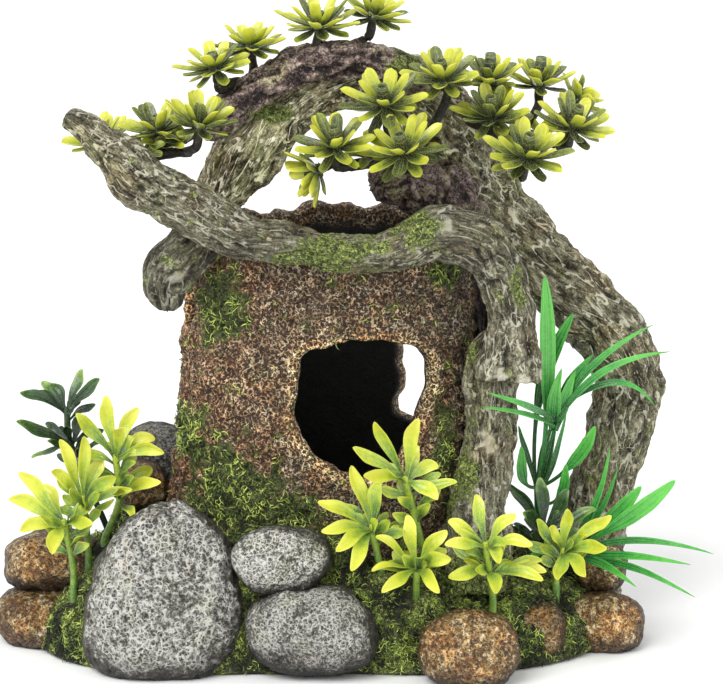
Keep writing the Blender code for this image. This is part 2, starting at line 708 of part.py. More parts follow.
front_twig = twig("twig_front", (
    (27, 8, 140, 2.0), (22, -2, 139, 1.9), (14, -9, 138.6, 1.8), (4, -12, 137.6, 1.6), (-0.5, -12.6, 137, 1.3),
), {
    "front_1": (14, -8.6, 138.6, 1.3), "front_2": (4, -12, 137.6, 1.3), "front_3": (15, -9, 138.6, 1.3),
    "front_4": (22, -2, 139, 1.3), "front_5": (1, -12.4, 137.2, 1.2),
})
right_twig = twig("twig_right", (
    (30, 14, 147, 2.2), (37, 8, 146, 2.1), (44, 3, 144, 1.9), (52, 0, 142.6, 1.7), (59, -1, 141.6, 1.4),
), {
    "right_1": (40, 5.6, 145.2, 1.3), "right_2": (50, 1, 143, 1.3), "right_3": (43, 3.4, 144.2, 1.3),
    "right_4": (51, 0.2, 142.8, 1.3), "right_5": (58, -1, 141.7, 1.3), "right_6": (55, -0.4, 142.2, 1.3),
})
top_left_twig = twig("twig_top_left", (
    (-22, -2, 156, 1.9), (-27, -3, 158.6, 1.7), (-30.6, -4.6, 159.2, 1.4),
), {
    "top_left_1": (-29, -4, 158.9, 1.3), "top_left_2": (-25, -2.6, 157.6, 1.3),
})
top_twig = twig("twig_top", (
    (0, 3, 160, 1.9), (0.6, 1.6, 166, 1.8), (1, 1, 169, 1.5),
), {
    "top_1": (0.7, 1.4, 166.8, 1.3), "top_2": (0.9, 1.2, 168, 1.3),
})
left_twig = twig("twig_left", (
    (-57, -21, 139.4, 1.9), (-53, -16, 140.6, 1.7), (-47, -14, 141.4, 1.5), (-41, -15.6, 142, 1.3),
), {
    "left_1": (-43, -14.4, 141.7, 1.2), "left_2": (-51, -15.6, 140.8, 1.2), "left_3": (-56, -20, 139.8, 1.2),
})
TWIGS = [front_twig, right_twig, top_left_twig, top_twig, left_twig]
whorls = [whorl(key) for key in WHORLS]

# ---------------------------------------------------------------- plants on the base

PLANTS = []


def planted(name, foot, stem, bands, look, sides=8, thick=0.9, pieces=4, spin=0.0):
    """A base plant: a tapered peg in its socket, then the stem from the foot up."""
    x, y = foot[:2]
    z = surface(x, y)
    peg = [(x, y, z - PEG_LENGTH, 0.8), (x, y, z - 0.2, PEG_RADIUS), (x, y, z + 0.5, stem[0][3])]
    shift = len(peg)
    rings = peg + list(stem)
    placed = {index + shift: leaves for index, leaves in bands.items()}
    obj = leafy(name, rings, sides, placed, look, thick=thick, pieces=pieces, spin=spin)
    hinge = Vector((x, y, z)) * MM
    for vertex in obj.data.vertices:
        vertex.co -= hinge
    obj.location = hinge
    PLANTS.append((obj, (x, y, z)))
    return obj


def socket(foot):
    """A tapered hole that leaves the peg room to lean."""
    x, y, z = foot
    rings = []
    for at, r in ((-SOCKET_DEPTH, 1.5), (-1.5, SOCKET_MOUTH), (6, SOCKET_MOUTH + 1.2)):
        ring = []
        for k in range(12):
            turn = 2 * math.pi * k / 12
            ring.append((x + r * math.cos(turn), y + r * math.sin(turn), z + at))
        rings.append(ring)
    points, faces = tube(rings, "flat", "flat")
    return helper(make("socket", points, faces, None))


def rising(foot, heights):
    """Stem rings above a foot: (x, y, z, radius) with x and y counted from the foot."""
    x, y, z = foot
    return [(x + a, y + b, z + c, r) for a, b, c, r in heights]


def fan(tips, width, lift):
    return [(tip, width, lift) for tip in tips]


f = (-66.3, -12.5, 29)
planted("sprig_left_tall", f, rising(f, (
    (0.3, 0, 2, 1.3), (4.4, -0.6, 13, 1.3), (4.8, -0.7, 14.2, 1.3), (3.6, -0.6, 24, 1.3),
    (3.4, -0.6, 25.2, 1.3), (3.3, -0.6, 26.4, 1.0),
)), {
    1: fan(((-50, -22, 50), (-53, -3, 49)), 4.4, 2.4),
    3: fan(((-66, -12, 72), (-57, -9, 68), (-74, -18, 68), (-52, -8, 59), (-49, -16, 57), (-60, -22, 66)), 4.6, 2.6),
}, LIME)
f = (-70.6, -17.5, 28)
planted("sprig_left_front", f, rising(f, (
    (0, 0, 2, 1.3), (-1, -1, 14.4, 1.3), (-1.2, -1.2, 15.6, 1.3), (-1.4, -1.4, 17, 1.0),
)), {
    1: fan(((-78, -18, 61), (-71, -22, 63), (-66.5, -14.5, 55), (-62, -28, 53), (-80, -26, 54)), 4.6, 2.4),
}, LIME)
f = (-74.6, -22, 23.5)
planted("sprig_left_low", f, rising(f, (
    (0, 0, 2, 1.3), (-2, -1.6, 13.6, 1.3), (-2.2, -1.8, 14.8, 1.3), (-2.4, -2, 16, 1.0),
)), {
    1: fan(((-89, -22, 53), (-92, -24, 46), (-89, -30, 38), (-80, -37, 33), (-68, -36, 41), (-83, -15, 47)), 4.8, 2.6),
}, LIME)
f = (-66, 1, 28.5)
planted("sprig_left_dark", f, rising(f, (
    (-0.4, 0, 2, 1.2), (-9.6, -1, 24.6, 1.2), (-9.9, -1, 25.8, 1.2), (-11.0, -1, 34.6, 1.2),
    (-11.1, -1, 35.8, 1.2), (-11.2, -1, 37, 0.9),
)), {
    1: fan(((-91, -9, 63), (-86, -11, 53), (-73, 11, 60), (-83, 10, 56)), 4.0, 2.2),
    3: fan(((-90, -4, 71), (-81, 2, 72), (-72, 4, 75), (-67, -3, 74), (-84, 11, 70)), 4.0, 2.2),
}, DARK_LEAF)
f = (23, -31, 31)
planted("sprig_centre_tall", f, rising(f, (
    (-0.2, -0.2, 2, 1.3), (-4.8, -3.4, 21.6, 1.3), (-5, -3.5, 22.8, 1.3), (-5.2, -3.7, 24.2, 1.0),
)), {
    1: fan(((9, -43, 73), (3, -43, 65), (21, -39, 73), (27, -31.5, 57), (6, -47, 58), (27, -41, 50)), 4.8, 2.6),
}, LIME)
f = (11.4, -33.4, 26)
planted("sprig_centre_left", f, rising(f, (
    (-0.2, -0.3, 2, 1.3), (-2.4, -3.4, 13.4, 1.3), (-2.6, -3.6, 14.6, 1.3), (-2.7, -3.8, 16, 1.0),
)), {
    1: fan(((3, -39, 59), (10.6, -39, 55), (-6, -43, 50), (-5, -48, 43), (-1, -53, 39), (3, -55, 34)), 4.8, 2.6),
}, LIME)
f = (21, -35.4, 18.5)
planted("sprig_centre_right", f, rising(f, (
    (0, -0.6, 2, 1.3), (0, -4.2, 10.4, 1.3), (0, -4.5, 11.6, 1.3), (0, -4.8, 13, 1.0),
)), {
    1: fan(((10, -47, 41), (18, -39, 45), (29, -43, 42), (9, -52, 33), (30, -50, 36), (12, -57, 28), (27, -58, 29)), 4.8, 2.6),
}, LIME)
f = (42.2, -35.5, 18.5)
planted("sprig_front_right", f, rising(f, (
    (0, -0.4, 1.6, 1.3), (-1, -2.4, 9.4, 1.3), (-1.1, -2.6, 10.6, 1.3), (-2, -3.6, 16.6, 1.3),
    (-2.1, -3.8, 17.8, 1.3), (-2.2, -4, 19, 1.0),
)), {
    1: fan(((30, -50, 30), (56, -47, 29), (57, -38.5, 29), (43, -57, 28)), 4.4, 2.2),
    3: fan(((37, -35.5, 50), (29.5, -39, 43), (48, -40, 46), (53, -44, 38.5), (29, -49, 39), (44, -54, 36)), 4.6, 2.4),
}, LIME)
f = (60.4, -18.4, 21)
planted("sprig_right_yellow", f, rising(f, (
    (0, -0.4, 1.6, 1.3), (1.4, -6.6, 8.4, 1.3), (1.6, -6.9, 9.6, 1.3), (1.8, -7.2, 10.8, 1.0),
)), {
    1: fan(((57.5, -28, 38), (63, -28, 44), (75, -31, 43), (74, -37, 35), (68, -45, 29), (60, -43, 27)), 4.6, 2.4),
}, LIME)
f = (54.4, -12, 21.5)
planted("sprig_right_dark", f, rising(f, (
    (0, -0.3, 1.6, 1.3), (2.2, -4.4, 10.4, 1.3), (2.3, -4.6, 11.6, 1.3), (2.4, -4.8, 13, 1.0),
)), {
    1: fan(((47.5, -16.5, 48), (56, -14, 49), (64, -17, 46), (71.5, -17, 40), (68, -23, 34), (50.5, -24, 42)), 4.2, 2.2),
}, DARK_LEAF)
f = (56.6, -0.5, 26)
planted("grass_tall", f, rising(f, (
    (0, 0, 2, 2.2), (0, 0, 4, 2.6), (0, 0, 5.6, 2.6), (0, 0, 7.4, 2.4), (0, 0, 9, 2.0),
)), {
    1: fan(((88, -8, 68), (49.6, -9, 56), (71, -11, 63)), 4.0, 10),
    3: fan(((56.5, -7, 106), (65, 1, 92), (87, -7, 91), (90, -12, 84), (52, 2, 68)), 4.4, 16),
}, GRASS, sides=8, thick=1.0, pieces=5)
f = (62.6, -7.2, 19.5)
planted("grass_right", f, rising(f, (
    (0, 0, 1.6, 2.2), (0.4, 0, 3.6, 2.4), (0.6, 0, 5.2, 2.4), (0.8, 0, 6.8, 2.2), (1, 0, 8.2, 1.8),
)), {
    1: fan(((97, -36, 30), (98, -41, 22), (82, -44, 24)), 3.6, 9),
    3: fan(((75, -21, 60), (93, -25, 51), (104.5, -30, 32), (80, -12, 48)), 3.8, 14),
}, GRASS, sides=8, thick=1.0, pieces=5)

# ---------------------------------------------------------------- contacts

carve(bark_strip, [arch_root, top_left_twig, top_twig])
carve(arch_root, [front_twig, right_twig, top_twig, top_left_twig])
carve(front_branch, [arch_root, left_twig])
carve(left_root_knob, [arch_root, front_branch])
carve(lower_front_root, [front_branch])
carve(stump, [arch_root, front_branch, left_root_knob, lower_front_root])
carve(shoulder_burl, [arch_root, stump, front_twig])
carve(stone_upper_left, [stone_lower_left])
carve(stone_front_grey, [stone_mid_grey, big_boulder])
carve(stone_mid_grey, [big_boulder])
carve(pebble_right, [stone_right_brown, arch_root])
carve(pebble_back_left, [stone_back_left, stump])
carve(big_boulder, [stump])
carve(stone_back_left, [stump])
carve(stone_small_brown, [lower_front_root])
room = bpy.data.collections.new("base_room")
bpy.context.scene.collection.children.link(room)
for piece in [stump, arch_root, lower_front_root] + STONES:
    if piece.name not in GROWN:
        GROWN[piece.name] = grown_copy(piece, GAP)
    room.objects.link(GROWN[piece.name])
for obj, foot in PLANTS:
    room.objects.link(socket(foot))
step = base.modifiers.new("room", "BOOLEAN")
step.operation = "DIFFERENCE"
step.solver = "EXACT"
step.operand_type = "COLLECTION"
step.collection = room
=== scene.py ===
"""The looks of a resin cave ornament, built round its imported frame.

The casting is a hollow stump on a mossy base, with driftwood roots leaning on it, loose stones
round it and soft plastic foliage pushed into it. Each visible piece is a fine mesh that stands
for its plain CAD solid. Shapes are worked out in millimetres: X is to the right, Y goes away
from the viewer and Z is up.
"""

import math

import bpy
import numpy as np
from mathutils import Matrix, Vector, noise


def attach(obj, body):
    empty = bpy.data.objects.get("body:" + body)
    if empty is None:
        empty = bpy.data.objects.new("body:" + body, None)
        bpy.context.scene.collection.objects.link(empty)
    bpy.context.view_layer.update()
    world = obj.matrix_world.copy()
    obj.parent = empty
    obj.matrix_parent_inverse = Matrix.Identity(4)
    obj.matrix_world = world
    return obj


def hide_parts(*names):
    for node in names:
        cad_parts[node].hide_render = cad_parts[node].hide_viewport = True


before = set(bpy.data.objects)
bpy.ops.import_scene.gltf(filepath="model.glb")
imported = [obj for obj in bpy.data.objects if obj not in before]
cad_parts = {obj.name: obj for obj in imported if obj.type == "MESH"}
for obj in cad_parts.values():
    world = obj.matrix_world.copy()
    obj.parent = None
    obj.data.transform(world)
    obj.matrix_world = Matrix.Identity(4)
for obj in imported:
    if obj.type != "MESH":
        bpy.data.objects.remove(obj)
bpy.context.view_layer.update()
MM = 0.001
RESIN = "resin"
DENSITY = 1.0
UP = (0, 0, 1.0)
random = np.random.default_rng(7)


# ---------------------------------------------------------------- noise and curves

def field(points, size, seed=0.0, octaves=1):
    """Smooth noise from about -1 to 1, with features of that size in millimetres."""
    total = np.zeros(len(points))
    for k in range(octaves):
        q = points * (2 ** k / size) + 17.3 * (seed + k)
        total += np.array([noise.noise(v) for v in q.tolist()]) / 2 ** k
    return total


# A turned set of axes, so that the noise's own grid does not line up with the object.
SKEW = np.array(((0.80, 0.36, -0.48), (-0.60, 0.48, -0.64), (0.0, 0.80, 0.60)))


def cells(points, size, seed=0.0):
    """Distance to the nearest of scattered points, as a share of the size."""
    q = points / size + 17.3 * seed
    return np.array([noise.voronoi(v)[0][0] for v in q.tolist()])


def smooth(x, low, high):
    """0 below low, 1 above high and a smooth step between them."""
    u = np.clip((x - low) / (high - low), 0, 1)
    return u * u * (3 - 2 * u)


def unit(v):
    return v / np.maximum(np.linalg.norm(v, axis=-1, keepdims=True), 1e-12)


def spline(stations, t):
    """Stations at each t along a Catmull-Rom curve, and the way that the curve runs there."""
    s = np.array(stations, float)
    s = np.vstack([2 * s[0] - s[1], s, 2 * s[-1] - s[-2]])
    i = np.clip(t.astype(int), 0, len(stations) - 2)
    u = (t - i)[:, None]
    p0, p1, p2, p3 = (s[i + k] for k in range(4))
    k1 = (p2 - p0) / 2
    k2 = p0 - 2.5 * p1 + 2 * p2 - p3 / 2
    k3 = (p3 - p0) / 2 + 1.5 * (p1 - p2)
    place = p1 + u * (k1 + u * (k2 + u * k3))
    way = k1 + u * (2 * k2 + 3 * u * k3)
    return place, unit(way[:, :3])


# ---------------------------------------------------------------- meshes

def grid(rows, cols, wrap=True):
    """Quads of a grid of points. A grid that wraps closes on itself across its columns."""
    r = np.arange(rows - 1)[:, None]
    c = np.arange(cols if wrap else cols - 1)[None, :]
    a = r * cols + c
    b = r * cols + (c + 1) % cols
    return np.stack([a, b, b + cols, a + cols], -1).reshape(-1, 4)


def fan(centre, ring):
    """Triangles from a centre point to a ring of points."""
    return np.stack([np.full(len(ring), centre), ring, np.roll(ring, -1)], -1)


def around(count):
    """Even turns round a circle."""
    return 2 * math.pi * np.arange(count) / count


def tube(rings, sides):
    """Faces of a tube of rings. Its ends close on two points that follow the rings."""
    n = rings * sides
    return [grid(rings, sides), fan(n, np.arange(sides)[::-1]), fan(n + 1, np.arange(n - sides, n))]


def normals(points, quads):
    """Smooth outward normals, from the quads alone."""
    p = points[quads]
    across = np.cross(p[:, 2] - p[:, 0], p[:, 3] - p[:, 1])
    total = np.zeros_like(points)
    for k in range(4):
        for axis in range(3):
            total[:, axis] += np.bincount(quads[:, k], across[:, axis], len(points))
    return unit(total)


def put(name, points, faces, look, nodes=(), body=RESIN, **values):
    """A piece of the object, from points in millimetres and arrays of quads and triangles."""
    mesh = bpy.data.meshes.new(name)
    corners = np.concatenate([f.ravel() for f in faces])
    sizes = np.concatenate([np.full(len(f), f.shape[1]) for f in faces])
    mesh.vertices.add(len(points))
    mesh.vertices.foreach_set("co", (points * MM).astype(np.float32).ravel())
    mesh.loops.add(len(corners))
    mesh.loops.foreach_set("vertex_index", corners.astype(np.int32))
    mesh.polygons.add(len(sizes))
    starts = np.cumsum(sizes) - sizes
    mesh.polygons.foreach_set("loop_start", starts.astype(np.int32))
    mesh.update(calc_edges=True)
    mesh.shade_smooth()
    for label, value in values.items():
        vector = value.ndim == 2
        layer = mesh.attributes.new(label, "FLOAT_VECTOR" if vector else "FLOAT", "POINT")
        layer.data.foreach_set("vector" if vector else "value", value.astype(np.float32).ravel())
    mesh.materials.append(look)
    obj = bpy.data.objects.new(name, mesh)
    bpy.context.scene.collection.objects.link(obj)
    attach(obj, body)
    if nodes:
        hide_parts(*nodes)
    return obj


# ---------------------------------------------------------------- materials

def rgb(red, green, blue):
    """A colour as screen values from 0 to 255, made linear."""
    return tuple((c / 255) ** 2.2 for c in (red, green, blue)) + (1.0,)


class Signal:
    """A number or a colour that a node gives, ready for more sums."""

    def __init__(self, paint, socket):
        self.paint = paint
        self.socket = socket

    def __add__(self, other):
        return self.paint.math("ADD", self, other)

    def __sub__(self, other):
        return self.paint.math("SUBTRACT", self, other)

    def __mul__(self, other):
        return self.paint.math("MULTIPLY", self, other)

    def over(self, other):
        return self.paint.math("MAXIMUM", self, other)

    def scaled(self, amount):
        """A colour or a vector times a number."""
        return self.paint.node("VectorMath", 0, {0: self, 3: amount}, operation="SCALE")

    def tint(self, share, red, green, blue):
        """A colour, multiplied by another as far as the share says."""
        return self.paint.mix(share, self, (red, green, blue, 1), "MULTIPLY")

    def step(self, low, high, top=1.0):
        """A smooth step from 0 at low to top at high."""
        inputs = {"Value": self, "From Min": low, "From Max": high, "To Max": top}
        return self.paint.node("MapRange", 0, inputs, interpolation_type="SMOOTHSTEP")

    def ramp(self, *stops):
        """Colours along this number, from stops of (place, red, green, blue)."""
        made = self.paint.node("ValToRGB", "Color", {0: self})
        points = made.socket.node.color_ramp.elements
        while len(points) < len(stops):
            points.new(0.5)
        for point, (at, *colour) in zip(points, stops):
            point.position = at
            point.color = rgb(*colour)
        return made


class Paint:
    """A material being built. Its methods are short forms of the nodes used below."""

    def __init__(self, name, colour, **sockets):
        self.material = bpy.data.materials.new(name)
        self.material.use_nodes = True
        self.tree = self.material.node_tree
        self.shader = self.tree.nodes["Principled BSDF"]
        self.shader.inputs["Base Color"].default_value = colour
        for label, value in sockets.items():
            self.shader.inputs[label.replace("_", " ")].default_value = value
        self.place = self.node("TexCoord", "Object").scaled(1 / MM)

    def node(self, kind, output, inputs={}, **settings):
        made = self.tree.nodes.new("ShaderNode" + kind)
        for key, value in settings.items():
            setattr(made, key, value)
        for key, value in inputs.items():
            if isinstance(value, Signal):
                self.tree.links.new(value.socket, made.inputs[key])
            else:
                made.inputs[key].default_value = value
        return Signal(self, made.outputs[output])

    def value(self, name, output="Fac"):
        return self.node("Attribute", output, attribute_name=name)

    def noise(self, size, detail=2.0, rough=0.5, distort=0.0, where=None, output="Fac"):
        inputs = {"Vector": where or self.place, "Scale": 1 / size, "Detail": detail,
                  "Roughness": rough, "Distortion": distort}
        return self.node("TexNoise", output, inputs)

    def net(self, size, wide, narrow, where):
        """Lines between cells of that size: 0 at the wide distance from an edge and 1 at the narrow."""
        inputs = {"Vector": where, "Scale": 1 / size}
        return self.node("TexVoronoi", "Distance", inputs, feature="DISTANCE_TO_EDGE").step(wide, narrow)

    def math(self, operation, a, b=0.0, clamp=False):
        return self.node("Math", 0, {0: a, 1: b}, operation=operation, use_clamp=clamp)

    def vectors(self, operation, a, b):
        return self.node("VectorMath", 0, {0: a, 1: b}, operation=operation)

    def bend(self, size, amount, where=None):
        """Coordinates pushed about by noise."""
        push = self.noise(size, 1.0, where=where, output="Color")
        push = self.vectors("SUBTRACT", push, (0.5, 0.5, 0.5)).scaled(amount)
        return self.vectors("ADD", where or self.place, push)

    def mix(self, share, a, b, blend="MIX"):
        return self.node("Mix", 2, {0: share, 6: a, 7: b}, data_type="RGBA", blend_type=blend)

    def done(self, colour, height=None, depth=0.0):
        """The finished material. Height, from 0 to 1, raises the surface by a depth in millimetres."""
        self.tree.links.new(colour.socket, self.shader.inputs["Base Color"])
        if height:
            bump = self.node("Bump", 0, {"Height": height, "Distance": depth * MM})
            self.tree.links.new(bump.socket, self.shader.inputs["Normal"])
        return self.material

    def mossy(self, base, dim=1.0):
        """Green flock over a colour, where the piece's moss and its own grain allow it."""
        grain = self.noise(0.8, 3, 0.75, 0.8)
        green = grain.ramp((0.36, 20, 24, 10), (0.45, 62, 70, 34), (0.53, 112, 124, 62),
                           (0.61, 162, 176, 88), (0.72, 218, 228, 140))
        spread = self.value("moss") + grain * 0.9
        return self.mix(spread.step(0.66, 0.98), base, green.scaled(dim))


def driftwood():
    paint = Paint("driftwood", rgb(124, 122, 102), Roughness=0.6)
    grain = paint.bend(2.6, 1.6, paint.value("grain", "Vector"))
    long = paint.vectors("MULTIPLY", grain, (1, 1, 1.15))
    fine = paint.noise(0.75, 4, 0.75, 0.3, long)
    specks = paint.noise(0.55, 3, 0.75, 0.3)
    loops = paint.net(3.2, 0.06, 0.025, paint.bend(1.6, 2.0)) * paint.noise(9).step(0.50, 0.60)
    lines = paint.net(2.7, 0.068, 0.028, paint.bend(2.6, 2.2, long)).over(loops)
    lines = lines * paint.noise(3.2, 3, 0.7).step(0.45, 0.55)
    height = paint.value("relief") * 0.34 + fine * 0.95 + specks * 0.66 - 0.51
    wood = height.ramp((0.26, 20, 18, 11), (0.37, 66, 62, 44), (0.46, 106, 102, 80),
                       (0.55, 138, 134, 108), (0.65, 176, 172, 144), (0.78, 226, 224, 200))
    cream = paint.math("ADD", lines * 0.85, paint.value("pale"), True)
    wood = paint.mix(cream, wood, paint.mix(specks, rgb(196, 192, 160), rgb(255, 252, 234)))
    wood = wood.tint(paint.noise(11).step(0.48, 0.68, 0.7), 1.04, 0.88, 0.72)
    wood = wood.tint(paint.noise(8, where=grain).step(0.50, 0.68, 0.7), 0.90, 0.95, 0.70)
    # Colour scaled by the piece's own factor: partly the wood's tone, partly painted light and shade.
    wood = paint.mossy(wood.scaled(paint.value("tone_and_painted_light")))
    return paint.done(wood, fine + specks * 0.8 + lines * 0.35, 0.8)


def dark_bark():
    paint = Paint("dark_bark", rgb(88, 74, 66), Roughness=0.66)
    knobs = paint.noise(0.95, 4, 0.72, 0.9)
    height = paint.value("relief") * 0.42 + knobs * 1.15 - 0.34
    # Colour scaled by the piece's own factor: partly the bark's tone, partly painted light and shade.
    bark = height.ramp((0.26, 16, 12, 11), (0.36, 76, 61, 58), (0.45, 128, 108, 103),
                       (0.54, 176, 156, 146), (0.66, 230, 214, 198)).scaled(paint.value("tone_and_painted_light"))
    bark = bark.tint(paint.noise(7).step(0.50, 0.64, 0.8), 0.84, 0.94, 0.62)
    return paint.done(paint.mossy(bark), knobs, 0.9)


def stump_bark():
    paint = Paint("stump_bark", rgb(110, 94, 74), Roughness=0.6)
    bent = paint.bend(1.0, 1.5)
    worms = paint.net(1.3, 0.135, 0.065, bent).over(paint.net(0.9, 0.12, 0.05, bent) * 0.25)
    thick = paint.noise(6, 3).step(0.40, 0.62, 0.45) + 0.55
    worms = worms * (paint.noise(0.95, 2, 0.6).step(0.40, 0.54) * thick)
    grime = paint.noise(0.75, 3, 0.75)
    relief = paint.value("relief")
    lip = paint.value("lip")
    under = (grime + relief * 0.34).ramp((0.52, 14, 9, 5), (0.64, 40, 28, 18), (0.76, 64, 47, 33),
                                         (0.90, 92, 71, 51))
    top = (paint.noise(2.2, 3, 0.6) + lip * 0.16).ramp(
        (0.36, 164, 130, 94), (0.48, 220, 190, 150), (0.58, 248, 226, 188), (0.70, 255, 250, 226))
    share = paint.math("MULTIPLY", worms, relief * 0.5 + 0.70, True)
    bark = paint.mix(share, under, top)
    bark = bark.tint(paint.noise(8, 3).step(0.44, 0.66, 0.8), 1.12, 0.86, 0.66)
    across, up = (paint.node("SeparateXYZ", k, {0: paint.place}) for k in (0, 2))
    # Painted light and shade across the stump: warmer and lighter on the left, where the light comes from, and darker
    # on the right. Also darker and greener towards the bottom.
    bark = bark.tint(across.step(-12, -40, 0.7), 1.22, 0.92, 0.74)
    bark = bark.tint(across.step(8, 44, 0.6), 0.68, 0.67, 0.70)
    bark = bark.tint(up.step(62, 38, 0.6), 0.66, 0.68, 0.54)
    bark = paint.mossy(bark.tint(lip * 0.9, 1.7, 1.42, 0.95), 0.45)
    # Painted shade: the inside of the stump and the inner faces of its openings are painted near black, as the shade
    # in the hollow.
    bark = paint.mix(paint.value("inside_shade"), bark, rgb(15, 14, 13))
    return paint.done(bark, worms * 0.8 + grime, 0.8)


def grey_stone(name, size):
    paint = Paint(name, rgb(150, 147, 135), Roughness=0.5)
    bent = paint.bend(1.1 * size, 1.3 * size)
    veins = paint.net(1.3 * size, 0.17, 0.07, bent).over(paint.net(0.75 * size, 0.20, 0.06, bent) * 0.55)
    front = paint.value("front")
    # More pale veins on faces towards the front and top: partly dry-brushed paint, partly painted light.
    broken = paint.noise(1.4 * size, 3, 0.7) + paint.noise(7) * 0.5 + front * 0.34
    veins = veins * broken.step(0.92, 1.14)
    speck = paint.noise(0.6 * size, 4, 0.78, 0.3)
    stone = speck.ramp((0.34, 26, 24, 20), (0.43, 58, 55, 48), (0.51, 92, 89, 79),
                       (0.60, 126, 122, 110), (0.72, 178, 174, 160))
    stone = stone.tint(paint.noise(9, 3).step(0.42, 0.62, 0.9), 0.72, 0.71, 0.70)
    stone = stone.tint(paint.value("relief").step(0.60, 0.20, 0.8), 0.44, 0.43, 0.41)
    stone = paint.mix(veins * 0.95, stone, rgb(250, 249, 240))
    stone = stone.tint(paint.noise(10).step(0.5, 0.7, 0.5), 0.93, 0.96, 0.78)
    stone = stone.tint(paint.noise(6, 2, 0.5, 0.3).step(0.60, 0.74, 0.4), 1.10, 0.93, 0.76)
    # Painted shade: faces turned away from the front and top are darkened.
    stone = stone.tint(front.step(0.9, 0.1), 0.50, 0.49, 0.46)
    # Painted shade under the stone: faces turned down are darkened.
    stone = stone.tint(paint.value("low"), 0.30, 0.29, 0.29)
    # Colour scaled by the stone's own factor: partly its tone, partly painted light and shade.
    stone = paint.mossy(stone.scaled(paint.value("tone_and_painted_light")))
    return paint.done(stone, veins * 0.5 + speck, 0.7)


def brown_stone():
    paint = Paint("stone_brown", rgb(140, 116, 84), Roughness=0.42)
    bent = paint.bend(1.1, 1.6)
    worms = paint.net(1.15, 0.20, 0.08, bent).over(paint.net(0.7, 0.20, 0.06, bent) * 0.5)
    front = paint.value("front")
    # More pale veins on faces towards the front and top: partly dry-brushed paint, partly painted light.
    broken = paint.noise(1.2, 3, 0.75) + paint.noise(5, 3) * 0.5 + front * 0.25
    worms = worms * broken.step(0.88, 1.08)
    grime = paint.noise(0.65, 3, 0.78)
    under = grime.ramp((0.34, 18, 10, 4), (0.44, 56, 39, 20), (0.54, 98, 73, 41), (0.68, 152, 120, 74))
    top = paint.noise(1.8, 3).ramp((0.38, 182, 142, 84), (0.50, 232, 194, 132), (0.62, 255, 236, 194))
    stone = paint.mix(worms, under, top)
    stone = stone.tint(paint.noise(7).step(0.46, 0.66, 0.8), 1.10, 0.84, 0.60)
    stone = stone.tint(paint.value("relief").step(0.62, 0.25, 0.6), 0.55, 0.50, 0.46)
    # Painted shade: faces turned away from the front and top are darkened.
    stone = stone.tint(front.step(0.8, 0.05), 0.50, 0.44, 0.38)
    # Painted shade under the stone: faces turned down are darkened.
    stone = stone.tint(paint.value("low"), 0.30, 0.26, 0.24)
    # Colour scaled by the stone's own factor: partly its tone, partly painted light and shade.
    stone = paint.mossy(stone.scaled(paint.value("tone_and_painted_light")))
    return paint.done(stone, worms * 0.5 + grime, 0.5)


def soil():
    paint = Paint("mossy_ground", rgb(70, 76, 48), Roughness=0.85)
    grain = paint.noise(0.9, 3, 0.7, 0.6)
    height = grain * 0.8 + paint.value("relief") * 0.35
    ground = height.ramp((0.38, 6, 7, 4), (0.54, 28, 30, 18), (0.66, 62, 66, 40),
                         (0.80, 112, 118, 78), (0.94, 168, 174, 124))
    return paint.done(paint.mossy(ground), grain, 0.7)


def moss_fibre():
    paint = Paint("moss_fibre", rgb(110, 126, 60), Roughness=0.7)
    tone = paint.value("tone") + paint.noise(1.2) * 0.25
    return paint.done(tone.ramp((0.12, 14, 17, 8), (0.34, 48, 58, 30), (0.54, 88, 104, 54),
                                (0.74, 138, 162, 74), (0.98, 210, 226, 116)))


def twig_bark():
    paint = Paint("twig_bark", rgb(34, 30, 22), Roughness=0.55)
    grain = paint.noise(0.8, 3, 0.7)
    return paint.done(grain.ramp((0.35, 10, 9, 6), (0.55, 42, 38, 26), (0.72, 92, 88, 62)), grain, 0.4)


def leaf_plastic(name, stops, rim, rough=0.3, rib_highlight=0.15):
    """Soft moulded plastic. The colour runs along the leaf, and each leaf has a tone of its own."""
    paint = Paint(name, rgb(*stops[-1][1:]), Roughness=rough, Subsurface_Weight=0.10, Subsurface_Scale=1.0 * MM,
                  Subsurface_Radius=(0.8, 1.0, 0.25), Coat_Weight=0.3, Coat_Roughness=0.12)
    rim = rgb(*rim)
    edge = paint.value("edge")
    along = paint.value("tone") + paint.noise(2.2, 3, 0.6) * 0.50 + edge.step(0.1, 1.0) * 0.12
    leaf = (along - 0.24).ramp(*stops)
    leaf = paint.mix(paint.noise(0.35, 2, 0.6).step(0.52, 0.66, 0.30), leaf, rim)
    leaf = paint.mix(edge.step(0.82, 0.98, 0.45), leaf, rim)
    # Pale streaks along the ribs: painted highlight lines, with a matching bump.
    ribs = paint.math("SINE", edge * 13.0)
    leaf = paint.mix(ribs.step(0.35, 1.0, rib_highlight), leaf, rim)
    return paint.done(leaf, paint.noise(0.6, 3, 0.6) + ribs * (rib_highlight * 0.5), 0.2)


